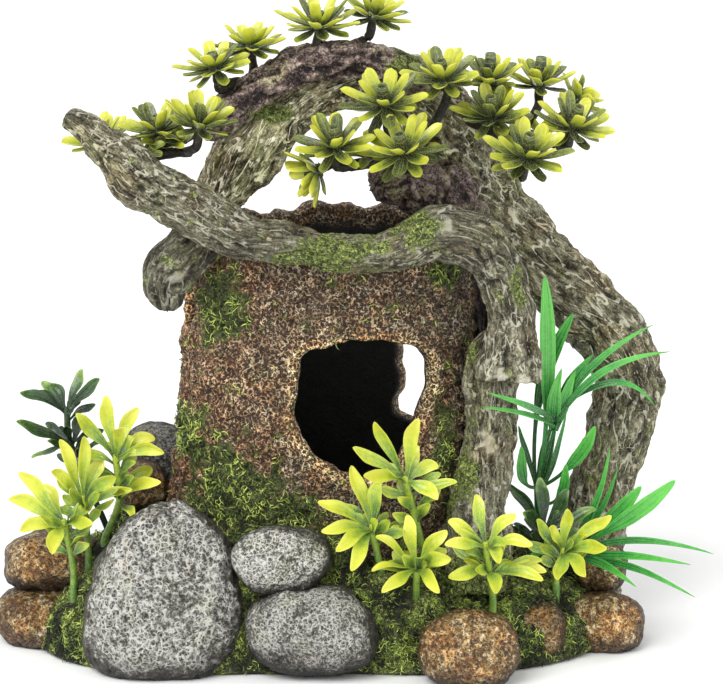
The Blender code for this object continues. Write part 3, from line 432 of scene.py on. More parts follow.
DRIFTWOOD = driftwood()
DARK_BARK = dark_bark()
STUMP = stump_bark()
BOULDER = grey_stone("boulder_grey", 1.3)
GREY = grey_stone("stone_grey", 0.85)
BROWN = brown_stone()
SOIL = soil()
FIBRE = moss_fibre()
TWIG = twig_bark()
LIME = leaf_plastic("leaf_lime", (
    (0.06, 34, 70, 40), (0.22, 88, 132, 58), (0.40, 146, 174, 54), (0.62, 196, 206, 50), (0.94, 224, 222, 78),
), (224, 230, 130))
TREETOP = leaf_plastic("leaf_treetop", (
    (0.06, 48, 54, 44), (0.26, 74, 83, 54), (0.42, 116, 128, 56), (0.60, 176, 184, 56), (0.90, 220, 220, 72),
), (206, 214, 128), 0.22)
DARK_LEAF = leaf_plastic("leaf_dark", (
    (0.05, 12, 26, 17), (0.40, 26, 48, 28), (0.70, 56, 88, 44), (0.98, 140, 170, 76),
), (96, 128, 84), 0.2)
GRASS = leaf_plastic("grass_blade", (
    (0.05, 10, 36, 20), (0.26, 14, 74, 34), (0.52, 32, 132, 44), (0.92, 96, 196, 70),
), (128, 206, 122), 0.2, 0.35)


# ---------------------------------------------------------------- where moss grows

# Centre and reach of each mossy patch.
MOSS = (
    ((-4, -33, 116), (15, 8, 7)), ((22, -32, 124), (8, 8, 5)), ((8, -32, 119), (10, 6, 4)),
    ((-33, -18, 98), (7.5, 14, 14)), ((-44, -12, 60), (9, 16, 10)), ((-34, -24, 46), (20, 16, 16)),
    ((-18, -30, 40), (16, 12, 11)), ((31, -24, 58), (7, 10, 20)), ((35, -20, 92), (4, 10, 12)),
    ((49, -27, 107), (2.4, 5, 7)), ((40, -26, 27), (12, 12, 9)), ((30, -16, 108), (6, 9, 5)),
    ((-20, -4, 151), (7, 10, 3)), ((37, -31, 24), (15, 9, 8)),
    ((-24, 36, 38), (24, 14, 13)), ((24, 34, 34), (20, 12, 11)), ((40, 18, 56), (9, 14, 22)),
    ((-36, 24, 84), (10, 12, 13)), ((6, 40, 74), (12, 10, 9)), ((76, 20, 34), (10, 12, 16)),
    ((-30, 36, 112), (12, 12, 6)), ((14, 8, 163), (10, 12, 5)),
)


def moss_at(points, seed=0.0):
    """How mossy each point is, from 0 to 1: patches with ragged edges."""
    found = np.zeros(len(points))
    for centre, radii in MOSS:
        away = np.linalg.norm((points - np.array(centre)) / np.array(radii), axis=1)
        found = np.maximum(found, 1.25 - away)
    ragged = field(points @ SKEW, 4.5, seed + 3, 2) * 0.5
    return np.clip(found + np.where(found > -0.4, ragged, 0), 0, 1)


# Centre and radius of each pale spot.
LICHEN = (
    ((38.5, -28, 84), 3.6), ((44.5, -29, 81.5), 2.4), ((50, -28, 80.5), 2.6), ((54, -24, 82), 2.4),
    ((41, -21.5, 61.4), 3.4), ((44, -19.5, 56.5), 2.4), ((-45, -23, 108), 2.4), ((-44, -23, 104), 2.0),
    ((29, -35, 126), 2.6),
)


def lichen_at(points, seed=0.0):
    """Pale crust in a few spots, from 0 to 1."""
    found = np.zeros(len(points))
    for centre, radius in LICHEN:
        away = np.linalg.norm(points - np.array(centre), axis=1) / radius
        found = np.maximum(found, 1.3 - away)
    ragged = field(points, 1.6, seed + 6) * 0.8
    return smooth(found + np.where(found > -0.6, ragged, 0), 0.3, 0.8) * 0.8


# ---------------------------------------------------------------- roots and branches

# The last argument scales a limb's colour from end to end: partly the wood's own tone, partly painted light and
# shade.
def limb(name, stations, look, sides, step, seed, sawn=False, knots=(), grooves=0.7, lumps=0.10, twist=0.0,
         knobs=0.25, tone_and_painted_light=(1.0,)):
    """A root or a branch. A station is x, y, z, half-width from the front, half-depth.

    A knot is (t, turn, radius, height): its place along the stations and round them in degrees.
    """
    sides = int(sides * DENSITY)
    span = len(stations) - 1
    rough = spline(stations, np.linspace(0, span, 200))[0][:, :3]
    length = np.linalg.norm(np.diff(rough, axis=0), axis=1).sum()
    rings = int(length / (step / DENSITY))
    t = np.linspace(0, span, rings)
    place, way = spline(stations, t)
    centre, half, deep = place[:, :3], place[:, 3], place[:, 4]
    shrink = np.ones(rings)
    for side, flat in ((0, False), (1, sawn)):
        if flat:
            reach, narrow = np.array((0.12, 0.2, 0.15, 0.1)), np.array((0.96, 0.8, 0.55, 0.28))
        else:
            bend = np.linspace(0, math.pi / 2, 11)[1:-1]
            reach, narrow = np.sin(bend) * 0.8 * half[-side], np.cos(bend)
        end = [centre[-side] + reach[:, None] * way[-side] * (1 if side else -1)]
        end += [np.repeat(values[-side][None], len(narrow), 0) for values in (way, half, deep)]
        end += [narrow, np.full(len(narrow), t[-side])]
        both = zip((centre, way, half, deep, shrink, t), end)
        centre, way, half, deep, shrink, t = (np.concatenate([a, b] if side else [b[::-1], a]) for a, b in both)
    depth = np.tile((0.0, 1.0, 0.0), (len(way), 1))
    depth[np.abs(way[:, 1]) > 0.93] = (0, 0, 1)
    depth = unit(depth - way * (depth * way).sum(1)[:, None])
    width = np.cross(depth, way)
    turn = around(sides)
    c, s = np.cos(turn)[None, :, None], np.sin(turn)[None, :, None]
    out = width[:, None] * c * (half * shrink)[:, None, None] + depth[:, None] * s * (deep * shrink)[:, None, None]
    points = (centre[:, None] + out).reshape(-1, 3)
    run = np.concatenate([[0], np.cumsum(np.linalg.norm(np.diff(centre, axis=0), axis=1))])
    mean = float(np.mean(half))
    spin = turn[None, :] + twist * run[:, None] / mean
    grain = [np.cos(spin) * mean, np.sin(spin) * mean, np.repeat(run[:, None] / 4.5, sides, 1)]
    grain = np.stack(grain, -1).reshape(-1, 3)
    faces = tube(len(centre), sides)
    side_turn = np.tile(turn, len(centre))
    side_t = np.repeat(t, sides)
    order = np.argsort(t)
    arc = np.interp(side_t, t[order], run[order])
    raised = np.zeros(len(points))
    whirl = np.zeros(len(points))
    for at, angle, radius, height in knots:
        off = (side_turn - math.radians(angle) + math.pi) % (2 * math.pi) - math.pi
        away = np.hypot(arc - np.interp(at, t[order], run[order]), off * mean) / radius
        bulge = np.exp(-away ** 2)
        raised += height * bulge * (1 - 0.7 * np.exp(-(away / 0.35) ** 2))
        whirl += bulge * np.cos(away * 6) * 0.45
    swell = field(points, 9.5, seed, 2) * mean * lumps * 2
    wander = np.stack([field(points, 6, seed + 5), field(points, 6, seed + 6), field(points, 3, seed + 7) * 0.4], -1)
    bent = grain + wander * 1.9
    coarse = field(bent, 3.2, seed + 1)
    ridge = 1 - np.abs(field(bent, 2.1, seed + 2)) * 3.4
    fine = field(bent, 1.0, seed + 3)
    cut = smooth(np.abs(field(bent, 4.4, seed + 8)), 0.09, 0.0) * smooth(field(points, 15, seed + 9), -0.25, 0.1)
    relief = 0.7 * coarse + 0.8 * ridge + 0.6 * fine + whirl - 0.9 * cut + knobs * field(points, 2.4, seed + 10, 2)
    damp = np.repeat(shrink ** 0.5, sides)
    points = points + normals(points, faces[0]) * ((swell + raised) * damp + relief * grooves * damp)[:, None]
    tips = [centre[k] + way[k] * (0.06 * half[k]) * sign for k, sign in ((0, -1), (-1, 1))]
    points = np.vstack([points, *tips])
    put(name, points, faces, look, (name,), relief=np.clip(0.42 + np.append(relief, (0, 0)) * 0.30, 0, 1),
        grain=np.vstack([grain, grain[:1], grain[:1]]), moss=moss_at(points, seed), pale=lichen_at(points, seed),
        tone_and_painted_light=np.interp(np.append(side_t / span, (0, 1)), np.linspace(0, 1, len(tone_and_painted_light)), tone_and_painted_light))


ARCH = (
    (-34.9, -6, 125.2, 6.4, 6), (-31.1, -4, 131, 7.6, 7), (-25.9, -2, 138.2, 8.6, 8),
    (-19.1, 2, 146, 8.4, 7.6), (-10.9, 5, 152.6, 7.4, 7), (1.5, 8, 157.6, 6.4, 6.6),
    (15.3, 10, 157.4, 6.8, 7), (24.5, 13, 150.5, 8.4, 8.6), (30.8, 17, 138.8, 12, 10),
    (38.1, 20, 124.8, 11.6, 10), (48.8, 21, 110.9, 9.8, 9.4), (62.2, 21, 96.2, 9.5, 9),
    (74.9, 19, 84.1, 9.5, 9), (81.3, 17, 70.6, 9.7, 9), (79.8, 15, 56.9, 9.4, 9),
    (75.9, 14, 43.6, 8.6, 8.6), (72.6, 12, 30.6, 8.6, 8.6), (70.7, 10, 16.1, 9, 9),
    (70.5, 10, 8, 9.4, 9.4),
)
BRANCH = (
    (-72.5, -24, 152.7, 3.4, 3.4), (-66.3, -24, 147.6, 4.8, 4.8), (-61.6, -24, 143.5, 5.8, 5.6),
    (-56.3, -24, 138.1, 7, 6.4), (-50, -24, 133.2, 6.6, 6.2), (-39.8, -25, 127.4, 6.8, 6),
    (-27.7, -27, 121.4, 5.9, 5.6), (-13, -29, 119, 4.9, 5), (1.6, -30, 116.6, 4.9, 5),
    (14.9, -31, 118, 5.2, 5.2), (26.3, -29, 122, 7.2, 6.4), (36.4, -26, 119.4, 7.2, 6.6),
    (43.4, -22, 110.7, 6.6, 6.4), (46.6, -21, 100.1, 6.3, 6.2), (47, -21, 89.1, 7.3, 6.8),
    (46.6, -22, 79.5, 9, 7.6),
)
LOWER_ROOT = (
    (42.1, -13, 86, 5.6, 5), (41.8, -14, 77, 6.6, 6), (41.6, -14.5, 68.4, 6.9, 6.4),
    (40.8, -16, 57.4, 6.6, 6.4), (39.3, -19, 47.1, 7.4, 6.8), (38.1, -22, 38.5, 8.6, 7.6),
    (37.6, -24, 29, 9.8, 8.6), (37.4, -24.6, 20, 10.6, 9.2),
)
KNOB = (
    (-33.5, -12.5, 119.6, 5.4, 5.4), (-38, -15.5, 117.2, 6.2, 6), (-42.4, -16.5, 113.6, 7, 6.4),
    (-46.2, -16, 109.4, 7.2, 6.4), (-48.4, -15.6, 104.8, 6.4, 5.8), (-48.2, -15.4, 101, 4.4, 4.4),
)
STRIP = (
    (-36, -7, 146.5, 3.6, 4), (-30.4, -6, 152.2, 4.2, 4.6), (-21.6, -4, 158.6, 4.8, 5),
    (-10.8, -1, 163.2, 5, 5), (1.5, 0, 164.6, 4.8, 5), (13, 2, 162.6, 4.4, 4.6),
    (21, 4, 158.4, 3.6, 4),
)
BURL = (
    (12.5, 2, 129, 4.4, 5), (17.5, 6, 129.5, 7.4, 7.6), (24.5, 8, 126.5, 9.6, 9.2),
    (30.5, 6, 119.5, 8.8, 8.6), (34.5, 4, 110.5, 7.4, 7.4), (38.6, 2, 101, 5.8, 6.4),
    (40.8, 0.6, 92, 4.8, 5.4), (41.4, 0, 84.5, 3.6, 4.2),
)

# The last values are partly the wood's tone, partly painted light and shade: the arch's left end is lit up where the
# treetop shades it, the knob under the front branch is darkened, and the burl fades to near black down the shaded gap
# behind the front root.
limb("arch_root", ARCH, DRIFTWOOD, 120, 0.5, 1, True, ((12.6, 300, 4, 1.2),), twist=0.12,
     tone_and_painted_light=(2.0, 2.0, 1.2, 1.0, 1.0))
limb("front_branch", BRANCH, DRIFTWOOD, 100, 0.4, 4, True,
     ((2.6, 265, 3.2, 1.2), (3.2, 10, 5, 2.4), (9.6, 250, 4, 1.2), (14.4, 230, 4, 1.3)), 0.55, 0.09, 0.05,
     tone_and_painted_light=(1.0, 0.92, 0.58, 0.72, 0.94))
limb("lower_front_root", LOWER_ROOT, DRIFTWOOD, 108, 0.45, 7, True, lumps=0.12, twist=0.1, tone_and_painted_light=(0.82,))
limb("left_root_knob", KNOB, DRIFTWOOD, 100, 0.4, 9, knots=((3.2, 270, 3.4, 1.2),), grooves=0.6, tone_and_painted_light=(0.52,))
limb("bark_strip", STRIP, DARK_BARK, 92, 0.42, 12, lumps=0.16, knobs=0.7, tone_and_painted_light=(0.86, 1.0, 0.9))
limb("shoulder_burl", BURL, DARK_BARK, 110, 0.45, 15, grooves=0.75, lumps=0.18, knobs=0.8,
     tone_and_painted_light=(0.8, 0.8, 0.75, 0.5, 0.25, 0.12, 0.1))


# ---------------------------------------------------------------- stump

# Height, then the wall's centre in x, half-width and half-depth there.
SECTIONS = (
    (24.3, -4.5, 46.5, 34.0), (46, -3.6, 43.4, 32.0), (70, -3.2, 41.8, 31.0),
    (99, -2.6, 40.6, 30.0), (140, -2.4, 40.0, 29.5),
)
STUMP_Y = 5.0
STUMP_WALL = 4.6
STUMP_FLOOR = 24.3
STUMP_POWER = 2.25  # 2 is an ellipse, and more is squarer
AROUND = 36.0  # millimetres along the wall for each radian
DOOR = (
    (-12.2, 68.8), (-9.5, 61.6), (-4.8, 56.6), (1.5, 53), (6.5, 51.4), (11.1, 52.2), (15.6, 56.8),
    (18.2, 62.6), (20.6, 68.8), (22.6, 74.6), (23.5, 80.1), (22.2, 85), (18.6, 88.6), (10.6, 90.4),
    (2.9, 90.8), (-4.7, 88.6), (-8.4, 87.6), (-10.7, 84.3), (-11.2, 76.4),
)
WINDOW_TURN = math.radians(55)
WINDOW = (
    (-8.8, -8), (-10.2, -13.6), (-9.6, -18), (-1, -19), (8, -18.4), (14, -10), (16, 2), (13, 12),
    (5, 17), (-3, 15), (-7.8, 9), (-9, 1),
)
KNOTHOLE = ((-5, -1), (-4, -5.5), (0, -7), (4, -5), (5.4, 0), (4, 5), (0, 7), (-4, 5))


def section(z):
    """The wall's centre in x, its half-width and its half-depth at each height."""
    return (np.interp(z, [s[0] for s in SECTIONS], [s[k] for s in SECTIONS]) for k in (1, 2, 3))


def wall(turn, z, inset):
    """Points on the stump's wall, that far in from its outer face."""
    centre, a, b = section(z)
    c, s = np.cos(turn), np.sin(turn)
    size = (np.abs(c) ** STUMP_POWER + np.abs(s) ** STUMP_POWER) ** (-1 / STUMP_POWER)
    return np.stack([centre + (a - inset) * size * c, STUMP_Y + (b - inset) * size * s, z], -1)


def rim(turn):
    """Height of the broken rim."""
    shoulder = np.exp(-((turn - math.radians(28)) / math.radians(17)) ** 2)
    ragged = 0.9 * np.sin(turn * 5 + 0.6) + 0.7 * np.sin(turn * 11 + 2) + 0.5 * np.sin(turn * 23)
    return 116.0 + 8 * shoulder + ragged


def rounded(outline, wrinkle=0.5, seed=0):
    """A closed outline of many points through the given ones, a little worn."""
    p = np.array(outline, float)
    n = len(p)
    t = np.linspace(0, n, 40 * n, endpoint=False)
    ring = spline(np.hstack([np.vstack([p, p[:3]]), np.zeros((n + 3, 1))]), t + 1)[0][:, :2]
    worn = field(np.hstack([ring, np.zeros((len(ring), 1))]), 4, seed) * wrinkle
    return ring + unit(ring - ring.mean(0)) * worn[:, None]


def on_wall(start, way, inset=0.0):
    """Where level lines from inside the stump meet its wall: (millimetres round it, height)."""
    start, way = np.array(start, float), np.array(way, float)
    near, far = np.zeros(len(start)), np.full(len(start), 90.0)
    centre, a, b = section(start[:, 2])
    for _ in range(30):
        middle = (near + far) / 2
        spot = start + middle[:, None] * way
        u, v = (spot[:, 0] - centre) / (a - inset), (spot[:, 1] - STUMP_Y) / (b - inset)
        outside = np.abs(u) ** STUMP_POWER + np.abs(v) ** STUMP_POWER > 1
        near, far = np.where(outside, near, middle), np.where(outside, middle, far)
    return np.stack([np.arctan2(v, u) % (2 * math.pi) * AROUND, start[:, 2]], -1)


def openings():
    """The doorway, the rear window and the knothole, as outlines on the wall."""
    door = rounded(DOOR, 0.7, 2)
    window = rounded(WINDOW, 0.8, 5)
    knot = rounded(KNOTHOLE, 0.4, 8)
    flat = np.zeros(len(door))
    beside = np.array((math.cos(WINDOW_TURN), -math.sin(WINDOW_TURN), 0))
    inner = np.array((-2.5, 5, 73)) + window[:, :1] * beside + window[:, 1:] * (0, 0, 1)
    left = np.stack([np.full(len(knot), -20.0), knot[:, 0] - 2, knot[:, 1] + 96.4], -1)
    return (on_wall(np.stack([door[:, 0], flat, door[:, 1]], -1), (0, -1, 0), 4.0),
            on_wall(inner, (math.sin(WINDOW_TURN), math.cos(WINDOW_TURN), 0), 4.0),
            on_wall(left, (-1, 0, 0)))


def inside(points, ring):
    """Which points lie inside a closed outline."""
    hit = np.zeros(len(points), bool)
    a, b = ring, np.roll(ring, -1, 0)
    for (x1, y1), (x2, y2) in zip(a, b):
        crosses = (y1 > points[:, 1]) != (y2 > points[:, 1])
        if y1 == y2:
            continue
        hit ^= crosses & (points[:, 0] < (x2 - x1) * (points[:, 1] - y1) / (y2 - y1) + x1)
    return hit


def nearest(points, ring):
    """The nearest outline point to each point, and how far it is."""
    away = np.linalg.norm(points[:, None] - ring[None], axis=2)
    best = away.argmin(1)
    return ring[best], away[np.arange(len(points)), best]


def stump():
    cols, rows = int(340 * DENSITY), int(128 * DENSITY)
    share = np.linspace(0, 2 * math.pi, cols, endpoint=False)
    turn = np.sort((share - 0.40 * np.cos(share)) % (2 * math.pi))
    lift = np.linspace(0, 1, rows)
    turns = np.repeat(turn[None], rows, 0).ravel()
    heights = STUMP_FLOOR + (rim(turns) - STUMP_FLOOR) * np.repeat(lift[:, None], cols, 1).ravel()
    flat = np.stack([turns * AROUND, heights], -1)
    quads = grid(rows, cols)
    middle = flat[quads].mean(1)
    wrapped = np.abs(flat[quads][:, 0, 0] - flat[quads][:, 1, 0]) > AROUND
    middle[wrapped, 0] = 0
    gone = np.zeros(len(quads), bool)
    lip = np.full(len(flat), 99.0)
    push = np.zeros_like(flat)
    for ring in openings():
        low, high = ring.min(0) - 12, ring.max(0) + 12
        near = ((flat > low) & (flat < high)).all(1)
        cut = inside(middle, ring)
        gone |= cut
        edge = np.zeros(len(flat), bool)
        edge[quads[cut].ravel()] = True
        kept = np.zeros(len(flat), bool)
        kept[quads[~cut].ravel()] = True
        edge &= kept
        flat[edge] = nearest(flat[edge], ring)[0]
        found, away = nearest(flat[near], ring)
        lip[near] = np.minimum(lip[near], away)
        off = flat[near] - found
        off[away < 0.05] = (found - ring.mean(0))[away < 0.05]
        push[near] += unit(off) * np.exp(-away / 2)[:, None]
    quads = quads[~gone]
    push[:, 1] -= np.exp(-(rim(turns) - heights) / 2)
    layers = ((0, 0.9), (0.5, 0.25), (1.6, 0), (3.1, 0.1), (4.2, 0.4), (STUMP_WALL, 1.0))
    n = len(flat)
    moved = [(flat + push * back, inset) for inset, back in layers]
    points = np.vstack([wall(q[:, 0] / AROUND, q[:, 1], inset) for q, inset in moved])
    edges = np.concatenate([quads[:, [k, (k + 1) % 4]] for k in range(4)])
    codes = edges[:, 0] * n + edges[:, 1]
    border = edges[~np.isin(codes, edges[:, 1] * n + edges[:, 0])]
    last = (len(layers) - 1) * n
    faces = [quads, quads[:, ::-1] + last]
    for k in range(len(layers) - 1):
        p, q = border[:, 0] + k * n, border[:, 1] + k * n
        faces.append(np.stack([q, p, p + n, q + n], -1))
    faces = np.concatenate(faces)
    used, back = np.unique(faces, return_inverse=True)
    faces = back.reshape(-1, 4)
    layer = used // n
    flat_of = used % n
    points = points[used]
    normal = normals(points, faces)
    bumps = field(points, 5.5, 21, 2) * 1.5 + field(points * (1, 1, 0.7), 2.2, 22) * 0.9
    worms = field(points, 1.25, 23) * 0.55
    away = lip[flat_of]
    swollen = np.exp(-(away / 2.6) ** 2)
    gain = np.choose(layer, (1.0, 0.8, 0.5, 0.35, 0.25, 0.25))
    low = smooth(points[:, 2], 62, 34) * (points[:, 1] < 5)
    roots = low * (1.6 * np.sin(turns[flat_of] * 9 + points[:, 2] * 0.05) + field(points, 9, 25))
    relief = bumps * 0.6 + worms
    gain = gain * (0.30 + 0.70 * smooth(away, 0.3, 3.5))
    points = points + normal * ((bumps + worms + 0.5 * swollen + roots) * gain)[:, None]
    moss = moss_at(points, 31) * (layer < 2)
    below = smooth(rim(turns[flat_of]) - heights[flat_of], 3.0, 7.0)
    # Painted shade inside the hollow: dark through the wall's thickness at the openings and over the inner face,
    # fading out just under the rim.
    put("stump_shell", points, [faces], STUMP, ("stump_shell",), relief=np.clip(0.5 + relief * 0.28, 0, 1),
        moss=moss, inside_shade=np.choose(layer, (0, 0, 0.15, 0.5, 0.9, 1.0)) * np.where(away < 9, 1.0, below),
        lip=np.exp(-away / 2.4) * (layer < 4))
    return points, faces[: len(quads)]


stump_surface = stump()


# ---------------------------------------------------------------- base

GROUND = np.array((
    (-2, 5, 38), (-22, 5, 38), (18, 5, 38), (-2, 24, 37), (-25, -27, 37), (0, -27, 39),
    (20, -27, 35), (-12, -34, 29), (10, -34, 28), (22, -34, 22), (38, -33, 18), (-10, -42, 10),
    (20, -42, 8), (0, -42, 11), (-46, -8, 37), (-52, 14, 37), (-45, 26, 34), (-66, -12, 29),
    (-58, -22, 22), (-70, 5, 26), (-80, -5, 14), (-86, -8, 6), (-20, 38, 30), (0, 42, 24),
    (26, 36, 26), (42, 25, 24), (42, -10, 30), (48, 5, 28), (57, -4, 23), (55, -20, 20),
    (65, -18, 16), (70, 10, 15), (80, 5, 8), (60, 24, 13), (-70, -17, 26), (-74, -23, 22),
    (64, -9, 19), (56, -2, 24), (42, -31, 17), (21, -36, 19), (11, -34, 26), (23, -31, 27),
), float)
OUTLINE = (80, 78, 66, 52, 48, 48, 50, 59, 74, 84, 82, 66, 49, 44, 43, 50, 62, 74)
BASE_CENTRE = np.array((-2.0, 0.0))


def outline(turn):
    """Distance from the base's centre to its edge, in each direction."""
    ring = np.array(OUTLINE + OUTLINE[:3], float)[:, None]
    stations = np.hstack([ring, np.zeros((len(ring), 3))])
    steps = len(OUTLINE)
    t = turn / (2 * math.pi) * steps % steps
    t = np.where(t < 1, t + steps, t)
    return spline(stations, t)[0][:, 0]


def surface(x, y):
    """Height of the base's top: the moss falls away to a low edge."""
    away = (x[:, None] - GROUND[:, 0]) ** 2 + (y[:, None] - GROUND[:, 1]) ** 2 + 4
    weight = away ** -1.6
    level = (weight * GROUND[:, 2]).sum(1) / weight.sum(1)
    dx, dy = x - BASE_CENTRE[0], y - BASE_CENTRE[1]
    fade = np.clip((1.02 - np.hypot(dx, dy) / outline(np.arctan2(dy, dx) % (2 * math.pi))) / 0.2, 0, 1)
    flat = np.stack([x, y, np.full(len(x), 3.0)], -1)
    return 5 + (level - 5) * fade ** 0.7 + 1.2 * field(flat, 1 / 0.09)


def base():
    cols, rows = int(420 * DENSITY), int(110 * DENSITY)
    turn = around(cols)
    edge = outline(turn)
    rims = [(edge - 1.2, 0.0), (edge, 1.0), (edge, 2.6)]
    rims += [(edge * s, None) for s in np.linspace(0.985, 0.02, rows)]
    rings = []
    for r, z in rims:
        x = BASE_CENTRE[0] + r * np.cos(turn)
        y = BASE_CENTRE[1] + r * np.sin(turn)
        rings.append(np.stack([x, y, surface(x, y) if z is None else np.full(cols, z)], -1))
    points = np.concatenate(rings)
    faces = grid(len(rings), cols)
    normal = normals(points, faces)
    lumps = field(points, 6.5, 41, 2) * 1.8 + field(points, 2.4, 42) * 0.9 + field(points, 1.2, 43) * 0.5
    free = smooth(points[:, 2], 0.5, 4)
    points = points + normal * (lumps * free)[:, None]
    points[:, 2] = np.maximum(points[:, 2], 0)
    top = np.array([[*BASE_CENTRE, points[-cols:, 2].mean()]])
    under = np.array([[*BASE_CENTRE, 0.0]])
    n = len(points)
    points = np.vstack([points, top, under])
    caps = [fan(n, np.arange(n - cols, n)), fan(n + 1, np.arange(cols)[::-1])]
    green = np.clip(0.30 + 0.9 * field(points @ SKEW, 8, 44, 3), 0, 1)
    put("base_casting", points, [faces, *caps], SOIL, ("base_casting",),
        relief=np.clip(0.5 + np.append(lumps, (0, 0)) * 0.25, 0, 1), moss=green)
    return points, faces


base_surface = base()


# ---------------------------------------------------------------- stones

# Name, centre, half-sizes, material, lean, taper, turn, seed, lumps, and a factor on the colour that is partly the
# stone's tone, partly painted light and shade.
STONES = (
    ("big_boulder", (-48.8, -34.6, 21.4), (21.6, 15.8, 26.0), BOULDER, 0.05, 0.34, 0.0, 1, 0.07, 0.7),
    ("stone_upper_left", (-81, -5, 21.8), (14.6, 12, 9), BROWN, 0, 0, 0.1, 2, 0.10, 0.86),
    ("stone_lower_left", (-82.2, -8, 6.4), (15.6, 13, 9.6), BROWN, 0, 0, 0.0, 3, 0.10, 0.7),
    ("stone_mid_grey", (-16.2, -37.4, 31.4), (14, 8.8, 9.6), GREY, 0, 0, 0.06, 4, 0.10, 0.94),
    ("stone_front_grey", (-8.2, -42.6, 12.8), (18.4, 10.6, 12.2), GREY, 0, 0.05, 0.0, 5, 0.08, 0.74),
    ("stone_front_brown", (35.4, -46.4, 9.2), (14, 10, 10.8), BROWN, 0, 0.1, 0.0, 6, 0.10, 0.84),
    ("stone_right_brown", (73.4, -14.6, 6.6), (12.2, 10, 9.0), BROWN, 0, 0, 0.0, 7, 0.10, 1.0),
    ("stone_small_brown", (54, -27, 7.6), (9.2, 7.2, 8.6), BROWN, 0, 0, 0.0, 8, 0.10, 0.7),
    ("stone_back_left", (-52, 25, 44.5), (10.4, 9.6, 9), GREY, 0, 0, 0.0, 9, 0.10, 0.42),
    ("pebble_back_left", (-56.4, 8, 40.2), (7.8, 8, 7.4), BROWN, 0, 0, 0.0, 10, 0.10, 0.6),
    ("pebble_right", (73.6, -5, 19.4), (7.4, 6.2, 7.6), BROWN, 0, 0, 0.0, 11, 0.10, 0.9),
)
ROUNDNESS = 2.3


def ball(count):
    """Directions and quads of a cube blown up to a sphere, count quads along each edge."""
    a = np.tan(np.linspace(-1, 1, count + 1) * math.pi / 4)
    u, v = (x.ravel() for x in np.meshgrid(a, a, indexing="ij"))
    one = np.ones_like(u)
    sides = ((u, v, one), (v, u, -one), (one, u, v), (-one, v, u), (v, one, u), (u, -one, v))
    directions = np.concatenate([np.stack(s, -1) for s in sides])
    quads = grid(count + 1, count + 1, wrap=False)[:, ::-1]
    quads = np.concatenate([quads + k * (count + 1) ** 2 for k in range(6)])
    _, first, back = np.unique(np.round(directions, 6), axis=0, return_index=True, return_inverse=True)
    return unit(directions[first]), back.ravel()[quads]


def stone(name, centre, axes, look, lean, taper, turn, seed, lump, tone_and_painted_light):
    """A rounded stone, flat where it stands on the ground."""
    count = int(np.clip(max(axes) * 3.6, 34, 92) * DENSITY)
    d, quads = ball(count)
    q = d / ((np.abs(d) ** ROUNDNESS).sum(1) ** (1 / ROUNDNESS))[:, None]
    shift = Vector((seed, seed * 0.7, 2.0))
    swell = 1 + lump * np.array([noise.noise(Vector(v) * 1.1 + shift) for v in q.tolist()])
    side = 1 - taper * q[:, 2]
    p = np.stack([q[:, 0] * axes[0] * side, q[:, 1] * axes[1] * side, q[:, 2] * axes[2]], -1) * swell[:, None]
    p[:, 0] += lean * p[:, 2]
    c, s = math.cos(turn), math.sin(turn)
    p[:, :2] = p[:, :2] @ np.array(((c, s), (-s, c)))
    points = p + np.array(centre)
    normal = normals(points, quads)
    pit_size, deep = (3.1, 0.55) if look is BOULDER else (2.3, 0.3)
    near = cells(points + field(points, 3, seed)[:, None] * 1.2, pit_size, seed)
    pits = smooth(near, 0.55, 0.15)
    lumps = field(points, 9, seed + 50, 2) * 0.9
    grain = field(points, 1.5, seed + 51)
    points = points + normal * (lumps - deep * pits + grain * 0.22)[:, None]
    points[:, 2] = np.maximum(points[:, 2], 0)
    # Faces turned down, for the painted shade under the stone.
    low = smooth(normal[:, 2], 0.0, -0.75) * 0.9
    # How far each face turns towards the front and top, where the key light comes from; the materials paint the faces
    # turned away darker, as shade.
    front = smooth(normal @ unit(np.array((-0.12, -0.80, 0.42))), -0.15, 0.85)
    rear = smooth(points[:, 1], centre[1], centre[1] + axes[1])
    moss = np.clip(field(points, 5, seed + 52, 2) * 1.2 - 0.35 + 0.45 * rear, 0, 0.55)
    moss *= smooth(normal @ unit(np.array((0, -1.0, 0.5))), 0.6, 0.1)
    # The last factor scales the whole colour: partly the stone's tone, partly painted light and shade.
    put(name, points, [quads], look, (name,), relief=np.clip(0.62 - 0.5 * pits + 0.3 * grain, 0, 1),
        low=low, front=front, moss=moss * 0.6, tone_and_painted_light=np.full(len(points), tone_and_painted_light))


for row in STONES:
    stone(*row)


# ---------------------------------------------------------------- leaves

